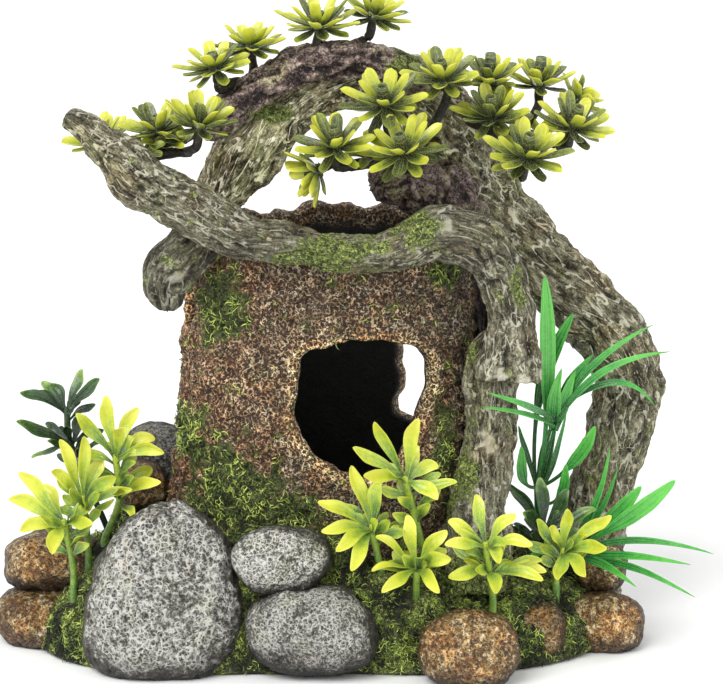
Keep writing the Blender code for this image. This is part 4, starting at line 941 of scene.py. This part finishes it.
def blade(root, tip, axis, width, lift, outline_at, long, thick, cup, groove, side, hub=None, wave=0.0):
    """A leaf along a bent line from root to tip, over a hub if there is one.

    Gives its points and faces, and how far along and how near an edge each point is.
    """
    root, tip, axis = (np.array(v, float) for v in (root, tip, axis))
    sides = 16
    run = tip - root
    bend = root + run * 0.45 + axis * lift if hub is None else np.array(hub)
    t = 1 - (1 - np.linspace(0, 1, long)) ** 1.25
    t = t[:, None]
    place = root * (1 - t) ** 2 + bend * 2 * t * (1 - t) + tip * t * t
    way = unit((bend - root) * (1 - t) + (tip - bend) * t)
    side = unit(side)
    across = unit(side - way * (way @ side)[:, None])
    up = np.cross(way, across)
    place = place + (up * np.sin(t * 9 + root[0]) + across * np.sin(t * 7 + root[2])) * wave * t
    half = width / 2 * outline_at(t)
    v, w = np.cos(around(sides))[None], np.sin(around(sides))[None]
    body = thick / 2 * (1 - 0.45 * t) * np.minimum(1, half * 2.5 / thick)
    lift_up = cup * half * v ** 2 - groove * np.exp(-(v / 0.25) ** 2) * np.minimum(1, half) * (w > 0) + body * w
    points = place[:, None] + across[:, None] * (half * v)[..., None] + up[:, None] * lift_up[..., None]
    points = np.vstack([points.reshape(-1, 3), place[0], place[-1] + way[-1] * 0.05])
    along = np.append(np.repeat(t, sides, 1).ravel(), (0, 1))
    edge = np.append(np.repeat(np.abs(v), long, 0).ravel(), (0, 1))
    return points, tube(long, sides), along, edge


def spoon(t):
    """Half-width along a treetop leaf: slim at the stem, then even, with a round tip."""
    return (0.42 + 0.58 * smooth(t, 0, 0.45)) * np.sqrt(np.clip(1 - np.clip((t - 0.78) / 0.22, 0, 1) ** 2, 0, 1))


def lance(t):
    """Half-width along a sprig's leaf: slim for a while, widest past the middle, with a blunt point."""
    return (0.28 + 0.72 * smooth(t, 0.08, 0.62)) * np.clip((1 - t) / 0.27, 0, 1) ** 0.52


def strap(t):
    """Half-width along a narrow blade of grass."""
    return (0.55 + 0.45 * smooth(t, 0, 0.4)) * np.clip((1 - t) / 0.5, 0, 1) ** 0.7


def paddle(t):
    """Half-width along a broad blade of grass: a thin stalk that opens out."""
    return (0.30 + 0.70 * smooth(t, 0.32, 0.62)) * np.clip((1 - t) / 0.22, 0, 1) ** 0.5


class Plant:
    """Gathers the stem and leaves of one moulded piece."""

    def __init__(self):
        self.points = []
        self.faces = []
        self.tones = []
        self.edges = []
        self.count = 0

    def add(self, points, faces, tone, edge=0.0):
        self.points.append(points)
        self.faces += [f + self.count for f in faces]
        self.tones.append(np.broadcast_to(tone, (len(points),)))
        self.edges.append(np.broadcast_to(edge, (len(points),)))
        self.count += len(points)

    def leaf(self, made, gain, tone, rim=1.0):
        """A blade, whose tone grows by the gain from its root to its tip."""
        points, faces, along, edge = made
        self.add(points, faces, along * gain + tone, edge * rim)

    def put(self, name, look, nodes, body):
        order = sorted({f.shape[1] for f in self.faces})
        faces = [np.concatenate([f for f in self.faces if f.shape[1] == k]) for k in order]
        return put(name, np.vstack(self.points), faces, look, nodes, body, tone=np.concatenate(self.tones),
                   edge=np.concatenate(self.edges))


# Centre, axis, reach, leaves in the lowest ring, their lift and first turn, height of the tube.
WHORLS = {
    "front_1": ((12.2, -13.6, 155), (-0.12, -0.46, 0.88), 12, 9, 0.28, 0.3, 6.6),
    "front_2": ((-1.4, -20.4, 144.3), (-0.06, -0.40, 0.92), 11.4, 9, 0.30, 0.45, 7),
    "front_3": ((17.4, -23, 143.6), (-0.20, -0.46, 0.87), 12.4, 9, 0.28, 0.1, 6.8),
    "front_4": ((28.4, -6.2, 160.6), (-0.14, -0.30, 0.94), 10.8, 9, 0.36, 0.1, 6),
    "front_5": ((-6.5, -13, 136), (-0.75, -0.30, -0.30), 9.6, 6, 0.55, 0.1, 3.4),
    "right_1": ((41.6, 2, 158.4), (0.0, -0.05, 1.0), 9, 8, 0.42, 0.3, 8),
    "right_2": ((55.4, 9, 156), (0.06, -0.05, 1.0), 9.6, 8, 0.42, 0.2, 8),
    "right_3": ((42.2, -6.4, 149.9), (-0.10, -0.32, 0.94), 11, 9, 0.36, 0.1, 6.8),
    "right_4": ((51, -17.6, 141), (0.12, -0.42, 0.9), 12.2, 10, 0.34, 0.15, 8),
    "right_5": ((64.2, -4, 146.3), (0.24, -0.34, 0.9), 11.6, 9, 0.34, 0.2, 7.4),
    "right_6": ((66.4, 13, 150.4), (0.72, 0.12, 0.66), 8.4, 7, 0.40, 0.0, 4.4),
    "top_left_1": ((-34.4, -9, 164.4), (-0.22, -0.1, 0.97), 10.6, 9, 0.16, 0.0, 4.4),
    "top_left_2": ((-24.8, 1, 168.4), (-0.1, 0.0, 0.99), 10.2, 9, 0.20, 0.2, 4.4),
    "top_1": ((-6, -2, 174.6), (0.0, -0.06, 1.0), 11.8, 9, 0.34, 0.0, 4.4),
    "top_2": ((9.4, 2.4, 176.6), (0.30, -0.06, 0.95), 10.6, 9, 0.34, 0.15, 4.4),
    "left_1": ((-38.4, -22, 150.8), (0.16, -0.20, 0.96), 11, 9, 0.50, 0.1, 4.6),
    "left_2": ((-50.2, -13.4, 147.6), (-0.08, -0.16, 0.98), 10.4, 8, 0.30, 0.0, 4.4),
    "left_3": ((-66.5, -5.5, 143), (-0.18, -0.16, 0.97), 10.6, 8, 0.34, 0.2, 4.4),
}


def whorl(key):
    """A star of spoon-shaped leaves round a hollow tube."""
    centre, axis, reach, count, cup, spin, high = WHORLS[key]
    plant = Plant()
    centre, up = np.array(centre, float), unit(np.array(axis, float))
    pick = np.array((1.0, 0, 0) if abs(up[0]) < 0.8 else (0, 1.0, 0))
    across = unit(pick - up * (pick @ up))
    other = np.cross(up, across)
    profile = ((1.5, -1.3), (2.05, -1.0), (2.25, -0.3), (2.2, 0.6), (1.95, high * 0.3), (1.72, high * 0.62),
               (1.5, high - 0.25), (1.38, high), (1.08, high), (0.98, high - 0.25), (0.95, high - 1.6))
    ring = np.cos(around(20))[:, None] * across + np.sin(around(20))[:, None] * other
    points = [centre + up * h + ring * r for r, h in profile]
    points = np.vstack(points + [centre + up * profile[k][1] for k in (0, -1)])
    mouth = (points - centre) @ up > high - 0.3
    plant.add(points, tube(len(profile), 20), np.where(mouth, 0.2, 0.02), mouth * 0.8)
    fans = (
        (count, spin, 1.08, cup - 0.04, 3.8, 0.86, 0.0),
        (count - 2, spin + 0.42, 0.84, cup + 0.46, 3.4, 0.98, 0.5),
        (count - 3, spin + 0.25, 0.80, cup - 0.46, 3.3, 0.60, -0.7),
    )
    for leaves, start, stretch, tilt, wide, glow, level in fans:
        for k in range(leaves):
            turn = start + 2 * math.pi * (k + 0.5) / leaves + random.uniform(-0.08, 0.08)
            out = across * math.cos(turn) + other * math.sin(turn)
            long = reach * stretch * (1 + 0.07 * math.sin(k * 2.4 + reach))
            rise = tilt + 0.10 * math.sin(k * 3.7 + spin) + random.uniform(-0.08, 0.08)
            root = centre + out * 1.5 + up * level
            tip = root + out * (long - 1.5) * math.cos(rise) + up * long * math.sin(rise)
            side = np.cross(up, out) + up * random.uniform(-0.25, 0.25)
            made = blade(root, tip, up, wide, -0.12 * long, spoon, 13, 0.5, 0.42, 0.26, side)
            dark = random.random() < 0.26
            plant.leaf(made, glow * (0.45 if dark else 1.0), random.uniform(-0.08, 0.08) - 0.02, 0.6 if dark else 1.0)
    plant.put("leaf_whorl_" + key, TREETOP, ("leaf_whorl_" + key,), RESIN)


for key in WHORLS:
    whorl(key)


def cane(path, sides=10, per=6):
    """A stem through stations of x, y, z, radius: points and faces."""
    t = np.linspace(0, len(path) - 1, (len(path) - 1) * per + 1)
    place, way = spline(path, t)
    centre, r = place[:, :3], place[:, 3]
    side = np.tile((1.0, 0.0, 0.0), (len(way), 1))
    side[np.abs(way[:, 0]) > 0.85] = (0, 1, 0)
    side = unit(side - way * (side * way).sum(1)[:, None])
    other = np.cross(way, side)
    c, s = np.cos(around(sides))[None, :, None], np.sin(around(sides))[None, :, None]
    rings = centre[:, None] + (side[:, None] * c + other[:, None] * s) * r[:, None, None]
    return np.vstack([rings.reshape(-1, 3), centre[0], centre[-1]]), tube(len(centre), sides)


# Stations of the trunk, with a radius, and where the shoot to each whorl leaves it.
TWIGS = {
    "twig_front": (
        ((27, 8, 140, 2.0), (22, -2, 139, 1.9), (14, -9, 138.6, 1.8), (4, -12, 137.6, 1.6), (-0.5, -12.6, 137, 1.3)),
        {"front_1": (14, -8.6, 138.6), "front_2": (4, -12, 137.6), "front_3": (15, -9, 138.6),
         "front_4": (22, -2, 139), "front_5": (1, -12.4, 137.2)}),
    "twig_right": (
        ((30, 14, 147, 2.2), (37, 8, 146, 2.1), (44, 3, 144, 1.9), (52, 0, 142.6, 1.7), (59, -1, 141.6, 1.4)),
        {"right_1": (40, 5.6, 145.2), "right_2": (50, 1, 143), "right_3": (43, 3.4, 144.2),
         "right_4": (51, 0.2, 142.8), "right_5": (58, -1, 141.7), "right_6": (55, -0.4, 142.2)}),
    "twig_top_left": (
        ((-22, -2, 156, 1.9), (-27, -3, 158.6, 1.7), (-30.6, -4.6, 159.2, 1.4)),
        {"top_left_1": (-29, -4, 158.9), "top_left_2": (-25, -2.6, 157.6)}),
    "twig_top": (
        ((0, 3, 160, 1.9), (0.6, 1.6, 166, 1.8), (1, 1, 169, 1.5)),
        {"top_1": (0.7, 1.4, 166.8), "top_2": (0.9, 1.2, 168)}),
    "twig_left": (
        ((-57, -21, 139.4, 1.9), (-53, -16, 140.6, 1.7), (-47, -14, 141.4, 1.5), (-41, -15.6, 142, 1.3)),
        {"left_1": (-43, -14.4, 141.7), "left_2": (-51, -15.6, 140.8), "left_3": (-56, -20, 139.8)}),
}


def twig(name):
    trunk, shoots = TWIGS[name]
    plant = Plant()
    plant.add(*cane(trunk), 0.5)
    for key, start in shoots.items():
        centre = np.array(WHORLS[key][0], float)
        up = unit(np.array(WHORLS[key][1], float))
        path = [(*start, 1.3), (*(centre - up * 6.5), 1.3), (*(centre - up * 2.4), 1.25), (*(centre - up * 1.0), 1.1)]
        plant.add(*cane(path), 0.5)
    plant.points = [p + field(p, 1.4, 60)[:, None] * 0.3 for p in plant.points]
    plant.put(name, TWIG, (name,), RESIN)


for name in TWIGS:
    twig(name)


def sprouts(name, starts):
    """Loose leaves along a twig, which hide it."""
    plant = Plant()
    for start in starts:
        for k in range(6):
            turn = k * 1.05 + random.uniform(-0.3, 0.3)
            out = unit(np.array((math.cos(turn), math.sin(turn) * 0.8, random.uniform(-0.15, 0.7))))
            root = np.array(start, float)
            made = blade(root, root + out * random.uniform(6.5, 9.5), UP, 3.0, 0.6, spoon,
                         12, 0.5, 0.4, 0.26, np.cross((0, -0.5, 1.0), out), wave=0.2)
            plant.leaf(made, random.choice((0.40, 0.62, 0.85)), random.uniform(-0.06, 0.06))
    plant.put(name, TREETOP, (), RESIN)


sprouts("sprouts_left", ((-54.5, -18.6, 141), (-48, -15, 143), (-42.5, -15.4, 144.5)))
sprouts("sprouts_right", ((47, 1.6, 144.5), (56, -1, 143.5)))
sprouts("sprouts_front", ((9, -10.6, 139.5), (20, -4, 140.5)))

# Material, leaf width, foot, stem as steps from the foot with a radius, and tiers of (height, bow, leaf tips).
PLANTS = {
    "sprig_left_tall": (LIME, 4.6, (-66.3, -12.5, 29), (
        (0.3, 0, 2, 1.3), (4.4, -0.6, 13, 1.3), (3.6, -0.6, 24, 1.3), (3.3, -0.6, 26.4, 1.0)), (
        (13.5, 2.4, ((-50, -22, 50), (-53, -3, 49))),
        (25, 2.6, ((-66, -12, 72), (-57, -9, 68), (-74, -18, 68), (-52, -8, 59), (-49, -16, 57), (-60, -22, 66))))),
    "sprig_left_front": (LIME, 4.6, (-70.6, -17.5, 28), (
        (0, 0, 2, 1.3), (-1, -1, 14.4, 1.3), (-1.4, -1.4, 17, 1.0)), (
        (15, 2.4, ((-78, -18, 61), (-71, -22, 63), (-66.5, -14.5, 55), (-62, -28, 53), (-80, -26, 54))),)),
    "sprig_left_low": (LIME, 4.8, (-74.6, -22, 23.5), ((0, 0, 2, 1.3), (-2, -1.6, 13.6, 1.3), (-2.4, -2, 16, 1.0)), (
        (14.2, 2.6, ((-89, -22, 53), (-92, -24, 46), (-89, -30, 38), (-80, -37, 33), (-68, -36, 41),
            (-83, -15, 47))),)),
    "sprig_left_dark": (DARK_LEAF, 4.2, (-66, 1, 28.5), (
        (-0.4, 0, 2, 1.2), (-9.6, -1, 24.6, 1.2), (-11.0, -1, 34.6, 1.2), (-11.2, -1, 37, 0.9)), (
        (25.2, 2.2, ((-91, -9, 63), (-86, -11, 53), (-73, 11, 60), (-83, 10, 56))),
        (35.2, 2.2, ((-90, -4, 71), (-81, 2, 72), (-72, 4, 75), (-67, -3, 74), (-84, 11, 70))))),
    "sprig_centre_tall": (LIME, 4.8, (23, -31, 31), (
        (-0.2, -0.2, 2, 1.3), (-4.8, -3.4, 21.6, 1.3), (-5.2, -3.7, 24.2, 1.0)), (
        (22.2, 2.6, ((9, -43, 73), (3, -43, 65), (21, -39, 73), (27, -31.5, 57), (6, -47, 58), (27, -41, 50))),)),
    "sprig_centre_left": (LIME, 4.8, (11.4, -33.4, 26), (
        (-0.2, -0.3, 2, 1.3), (-2.4, -3.4, 13.4, 1.3), (-2.7, -3.8, 16, 1.0)), (
        (14, 2.6, ((3, -39, 59), (10.6, -39, 55), (-6, -43, 50), (-5, -48, 43), (-1, -53, 39), (3, -55, 34))),)),
    "sprig_centre_right": (LIME, 4.8, (21, -35.4, 18.5), (
        (0, -0.6, 2, 1.3), (0, -4.2, 10.4, 1.3), (0, -4.8, 13, 1.0)), (
        (11, 2.6, ((10, -47, 41), (18, -39, 45), (29, -43, 42), (9, -52, 33), (30, -50, 36), (12, -57, 28),
            (27, -58, 29))),)),
    "sprig_front_right": (LIME, 4.6, (42.2, -35.5, 18.5), (
        (0, -0.4, 1.6, 1.3), (-1, -2.4, 9.4, 1.3), (-2, -3.6, 16.6, 1.3), (-2.2, -4, 19, 1.0)), (
        (10, 2.2, ((30, -50, 30), (56, -47, 29), (57, -38.5, 29), (43, -57, 28))),
        (17.2, 2.4, ((37, -35.5, 50), (29.5, -39, 43), (48, -40, 46), (53, -44, 38.5), (29, -49, 39),
            (44, -54, 36))))),
    "sprig_right_yellow": (LIME, 4.6, (60.4, -18.4, 21), (
        (0, -0.4, 1.6, 1.3), (1.4, -6.6, 8.4, 1.3), (1.8, -7.2, 10.8, 1.0)), (
        (9, 2.4, ((57.5, -28, 38), (63, -28, 44), (75, -31, 43), (74, -37, 35), (68, -45, 29), (60, -43, 27))),)),
    "sprig_right_dark": (DARK_LEAF, 4.4, (54.4, -12, 21.5), (
        (0, -0.3, 1.6, 1.3), (2.2, -4.4, 10.4, 1.3), (2.4, -4.8, 13, 1.0)), (
        (11, 2.2, ((47.5, -16.5, 48), (56, -14, 49), (64, -17, 46), (71.5, -17, 40), (68, -23, 34),
            (50.5, -24, 42))),)),
    "grass_tall": (GRASS, 0, (56.6, -0.5, 26), ((0, 0, 2, 2.0), (-0.4, -1, 9, 2.0), (-1, -2.2, 18, 1.7)), ()),
    "grass_right": (GRASS, 0, (62.6, -7.2, 19.5), ((0, 0, 1.6, 2.0), (0.6, 0, 4.6, 2.2), (1, -0.6, 8.2, 1.7)), ()),
}

# A blade of grass: where it starts, the point it bends towards, its tip, width, outline and shade.
GRASS_BLADES = {
    "grass_tall": (
        ((55.4, -2.6, 42), (60, -5, 70), (56.4, -7, 105), 4.6, paddle, 0.10),
        ((55.0, -2.4, 42), (52, -1, 70), (65, 1, 92.4), 4.0, paddle, -0.22),
        ((59.6, -5, 60), (59, -7, 68), (61.5, -9, 79), 4.2, strap, 0.08),
        ((60, -5, 60), (63, -6, 70), (65.4, -8, 78), 3.6, strap, 0.02),
        ((60, -4, 62), (64, -4, 76), (70.6, -5, 82), 3.2, strap, -0.12),
        ((60, -5, 63), (69, -6, 83), (87.6, -7, 91), 2.1, strap, 0.04),
        ((60, -6, 62), (71, -9, 83), (92, -12, 84.6), 2.2, strap, 0.10),
        ((61, -5, 66), (78, -8, 82), (88, -9, 68), 1.9, strap, -0.08),
        ((60, -7, 62), (54, -28, 71), (38.4, -33.5, 74.4), 2.1, strap, 0.05),
        ((60, -7, 64), (53, -29, 73), (40.4, -34.5, 79), 2.0, strap, 0.0),
        ((56, -3, 43), (66, -6, 48), (71, -11, 63), 3.6, paddle, 0.0),
        ((55.4, -3, 43), (50, -5, 42), (50.4, -7, 56), 3.4, paddle, -0.05),
        ((57, -3, 38), (63, -6, 38), (63.4, -8, 51), 3.0, paddle, -0.10),
        ((55.2, -2, 42), (51, -2, 58), (49.4, -7, 62), 1.7, strap, -0.36),
        ((55.4, -2.2, 42), (56.5, -3, 54), (60, -5, 64), 2.2, strap, -0.40),
        ((55.6, -2.6, 42), (59.5, -4, 52), (60.4, -6, 66), 2.0, strap, -0.34),
        ((56.2, -2.8, 42), (61.5, -6, 52), (63, -7, 68), 1.8, strap, -0.26),
    ),
    "grass_right": (
        ((63.2, -8, 25), (72, -16, 38), (75, -21, 60), 2.2, strap, -0.02),
        ((63.4, -7.6, 25), (73, -14, 36), (77.4, -18, 53), 2.0, strap, -0.14),
        ((63.6, -8, 25), (76, -18, 34), (93, -25, 51), 4.6, paddle, 0.08),
        ((63.4, -7.6, 25), (74, -14, 34), (84, -17, 47), 4.0, paddle, -0.10),
        ((63.8, -8.4, 25), (84, -22, 37), (103.6, -30, 31), 2.0, strap, -0.06),
        ((63.6, -9, 24), (80, -26, 31), (97, -36, 30), 2.3, strap, 0.06),
        ((63.6, -9, 24), (82, -30, 30), (98, -41, 22), 2.1, strap, -0.06),
        ((63, -9, 24), (72, -26, 30), (82, -38, 24), 2.6, strap, 0.0),
        ((62.6, -8.4, 25), (58, -18, 32), (51.6, -25, 27), 3.6, strap, -0.04),
    ),
}


# Lower and upper bound of the rise of each leaf added to a tier, and its size. These added leaves start lower on the
# stem and are painted darker, as shade.
EXTRA_LEAVES = ((0.5, 0.9, 0.9), (0.3, 0.6, 0.85), (-0.1, 0.4, 0.8), (-0.1, 0.3, 0.8))


def planted(name):
    """A base plant: its peg in the socket, its stem and its leaves."""
    look, wide, foot, stem, tiers = PLANTS[name]
    foot = np.array(foot, float)
    ground = surface(foot[:1], foot[1:2])[0]
    plant = Plant()
    path = [(foot[0], foot[1], ground - 3.8, 0.8), (foot[0], foot[1], ground - 0.2, 1.05)]
    path += [(foot[0] + a, foot[1] + b, foot[2] + c, r * 0.76) for a, b, c, r in stem]
    points, faces = cane(path)
    rise = (points[:, 2] - ground) / (path[-1][2] - ground)
    plant.add(points, faces, np.clip(0.20 + 0.25 * rise, 0, 1))

    def stem_at(z):
        return np.array([np.interp(z, [p[2] for p in path], [p[k] for p in path]) for k in (0, 1)] + [z])

    for start, bend, tip, size, kind, shade in GRASS_BLADES.get(name, ()):
        run = np.array(tip, float) - start
        facing = unit(np.array((0, -1.0, 0.25)) + random.uniform(-0.35, 0.35, 3))
        made = blade(start, tip, UP, size, 0, kind, 34, 0.6, 0.16, 0.2, np.cross(facing, run), bend, 0.25)
        plant.leaf(made, 0.78, 0.10 + shade)
    for level, lift, tips in tiers:
        centre = stem_at(foot[2] + level)
        axis = unit(np.array(path[-1][:3]) - np.array(path[-2][:3]))
        leaves = [(np.array(tip, float), lift, 1.0) for tip in tips]
        mean = np.mean([np.linalg.norm(np.array(tip) - centre) for tip in tips])
        start = random.uniform(0, 6.28)
        for k, (low, high, size) in enumerate(EXTRA_LEAVES):
            turn = start + k * 1.7 + random.uniform(-0.3, 0.3)
            out = unit(np.array((math.cos(turn), math.sin(turn), random.uniform(low, high) * 1.6)))
            reach = mean * random.uniform(0.6, 0.95) * (1 - 0.45 * max(out[1], 0))
            leaves.append((centre + out * reach - axis * 1.2, lift * 0.6, size))
        for k, (tip, bow, size) in enumerate(leaves):
            away = unit(tip - centre)
            root = centre + away * 0.5 - axis * (0.0 if size == 1 else random.uniform(0.2, 2.4))
            facing = unit(axis * 0.30 + np.array((0, -1.0, 0.35)) + random.uniform(-0.5, 0.5, 3))
            side = np.cross(facing, away)
            made = blade(root, tip, axis, wide * size * random.uniform(0.74, 0.90), bow, lance,
                         20, 0.5, 0.34, 0.24, side, wave=0.55)
            # The added leaves are painted darker, as shade among the listed ones.
            tone = random.uniform(-0.06, 0.16) - (0.0 if size == 1 else 0.22)
            plant.leaf(made, 0.80 + 0.14 * math.sin(2.7 * k + level), tone)
    for share in (0.46, 0.58, 0.72) if tiers else ():
        centre = stem_at(ground + 2 + (path[-1][2] - ground - 2) * share)
        start = random.uniform(0, 6.28)
        for k in range(3):
            turn = start + k * 2.1 + random.uniform(-0.4, 0.4)
            out = unit(np.array((math.cos(turn), math.sin(turn), random.uniform(0.4, 1.1))))
            facing = unit(np.array((0, -1.0, 0.5)) + random.uniform(-0.5, 0.5, 3))
            reach = random.uniform(8, 12) * (1 - 0.4 * max(out[1], 0))
            made = blade(centre + out * 0.5, centre + out * reach, UP, wide * 0.66, 1.2, lance,
                         15, 0.5, 0.30, 0.2, np.cross(facing, out), wave=0.4)
            plant.leaf(made, 0.60, random.uniform(-0.20, 0.02))
    plant.put(name, look, (name,), name)


for name in PLANTS:
    planted(name)


# ---------------------------------------------------------------- moss fibres

# Girth and change of tone at each ring of a strand, from its root to its tip.
STRAND_GIRTH = (1.0, 0.9, 0.65, 0.12)
STRAND_TONE = (-0.14, 0.0, 0.08, 0.14)


def fibres(name, surface_points, quads, share, count, length, thick, bright, seed):
    """Short curled strands lying on a surface, where share, a number for each point, allows."""
    count = int(count * DENSITY)
    p = surface_points[quads]
    area = np.linalg.norm(np.cross(p[:, 2] - p[:, 0], p[:, 3] - p[:, 1]), axis=1)
    weight = area * share[quads].mean(1)
    pick = random.choice(len(quads), count, p=weight / weight.sum())
    u, v = random.random((2, count, 1))
    a, b, c, d = (p[pick][:, k] for k in range(4))
    root = (a * (1 - u) + b * u) * (1 - v) + (d * (1 - u) + c * u) * v
    normal = unit(np.cross(c - a, d - b))
    side = unit(np.cross(normal, random.normal(size=(count, 3))))
    other = np.cross(normal, side)
    size = length * random.uniform(0.5, 1.3, (count, 1))
    rings = []
    spot = root - normal * 0.15
    heading = 0
    curl = random.normal(0, 1.1, (count, 1))
    rise = random.uniform(0.25, 1.0, (count, 1))
    sides, rows = 3, len(STRAND_GIRTH)
    for k, girth in enumerate(STRAND_GIRTH):
        way = unit(side * np.cos(heading) + other * np.sin(heading) + normal * rise * (1 - 0.62 * k))
        cross = unit(np.cross(way, normal + 0.01))
        lift = np.cross(cross, way)
        r = thick * girth / 2
        for turn in around(sides):
            rings.append(spot + (cross * math.cos(turn) + lift * math.sin(turn)) * r)
        spot = spot + way * size / 3
        heading = heading + curl
    points = np.stack(rings, 1).reshape(-1, 3)
    points[:, 2] = np.maximum(points[:, 2], 0.1)
    first = np.arange(count)[:, None, None] * rows * sides
    strands = (grid(rows, sides) + first).reshape(-1, 4)
    ends = (np.array([[2, 1, 0], [9, 10, 11]]) + first).reshape(-1, 3)
    clump = field(root @ SKEW, 4.0, seed, 2)
    tone = np.clip(0.42 + clump * 0.75 + random.normal(0, 0.18, count) + bright, 0.02, 1.1)
    tone = np.repeat(tone, rows * sides) + np.tile(np.repeat(STRAND_TONE, sides), count)
    put(name, points, [strands, ends], FIBRE, tone=tone)


def clear_of_feet(points):
    """0 near a plant's foot, where the moss leaves its stem room to lean."""
    free = np.ones(len(points))
    for plant in PLANTS.values():
        away = np.linalg.norm(points[:, :2] - plant[2][:2], axis=1)
        free *= smooth(away, 3.0, 4.5)
    return free


points, quads = base_surface
covered = np.zeros(len(points))
for row in STONES:
    away = np.linalg.norm((points - np.array(row[1])) / (np.array(row[2]) * 0.97), axis=1)
    covered = np.maximum(covered, away < 1)
within = np.linalg.norm((points[:, :2] - (-4, STUMP_Y)) / (45, 33), axis=1) < 1
share = (1 - covered) * (~within) * (points[:, 2] > 2.5) * clear_of_feet(points)
share *= np.clip(0.70 + 1.2 * field(points @ SKEW, 9, 71, 3), 0.12, 1)
share *= np.where(points[:, 1] > 10, 0.55, 1.0)
rear = points[:, 1] > -8
fibres("moss_on_base_front", points, quads, share * ~rear, 8400, 2.4, 0.36, -0.12, 72)
fibres("moss_on_base_rear", points, quads, share * rear, 6400, 2.6, 0.36, -0.02, 73)

points, quads = stump_surface
share = moss_at(points, 31) ** 1.5
fibres("moss_on_stump", points, quads, share, 4600, 2.6, 0.40, 0.08, 74)


# ---------------------------------------------------------------- camera, light and floor

FLOOR_REACH = 4.0  # metres
FLOOR_DROP = 0.0002  # metres below the object, so that the two never share a plane
CAMERA_AIM = Vector((5.85, 0.0, 84.3)) * MM
CAMERA_AWAY = 1500 * MM
CAMERA_TILT = math.radians(14.1)
CAMERA_LENS = 266.5  # millimetres, for a sensor 36 wide


def stage():
    floor = bpy.data.meshes.new("floor")
    corners = [(x * FLOOR_REACH, y * FLOOR_REACH, 0) for x, y in ((-1, -1), (1, -1), (1, 1), (-1, 1))]
    floor.from_pydata(corners, [], [(0, 1, 2, 3)])
    ground = bpy.data.objects.new("floor", floor)
    ground.location.z = -FLOOR_DROP
    bpy.context.scene.collection.objects.link(ground)
    paint = Paint("floor_white", (0.97, 0.97, 0.97, 1), Roughness=0.9, Specular_IOR_Level=0.1)
    floor.materials.append(paint.material)
    world = bpy.data.worlds.new("studio")
    bpy.context.scene.world = world
    world.use_nodes = True
    tree = world.node_tree
    where = tree.nodes.new("ShaderNodeTexCoord")
    split = tree.nodes.new("ShaderNodeSeparateXYZ")
    shade = tree.nodes.new("ShaderNodeMapRange")
    shade.inputs["From Max"].default_value = 0.9
    shade.inputs["To Min"].default_value = 1.0
    shade.inputs["To Max"].default_value = 0.80
    tree.links.new(where.outputs["Generated"], split.inputs[0])
    tree.links.new(split.outputs["Z"], shade.inputs["Value"])
    tree.links.new(shade.outputs[0], tree.nodes["Background"].inputs["Strength"])
    tree.nodes["Background"].inputs["Color"].default_value = (1, 1, 1, 1)
    for label, way, angle, power in (
        ("key", (0.46, 0.66, -0.85), 40, 2.1),
        ("fill", (-0.75, 0.60, -0.40), 60, 0.4),
    ):
        lamp = bpy.data.lights.new(label, "SUN")
        lamp.angle = math.radians(angle)
        lamp.energy = power
        holder = bpy.data.objects.new(label, lamp)
        holder.rotation_euler = Vector(way).to_track_quat("-Z", "Y").to_euler()
        bpy.context.scene.collection.objects.link(holder)


def camera():
    lens = bpy.data.cameras.new("camera")
    lens.sensor_width = 36
    lens.lens = CAMERA_LENS
    lens.clip_start = 0.01
    holder = bpy.data.objects.new("camera", lens)
    holder.location = CAMERA_AIM + Vector((0, -math.cos(CAMERA_TILT), math.sin(CAMERA_TILT))) * CAMERA_AWAY
    holder.rotation_euler = (CAMERA_AIM - holder.location).to_track_quat("-Z", "Y").to_euler()
    bpy.context.scene.collection.objects.link(holder)
    bpy.context.scene.camera = holder


stage()
camera()
bpy.context.scene.view_settings.view_transform = "Standard"
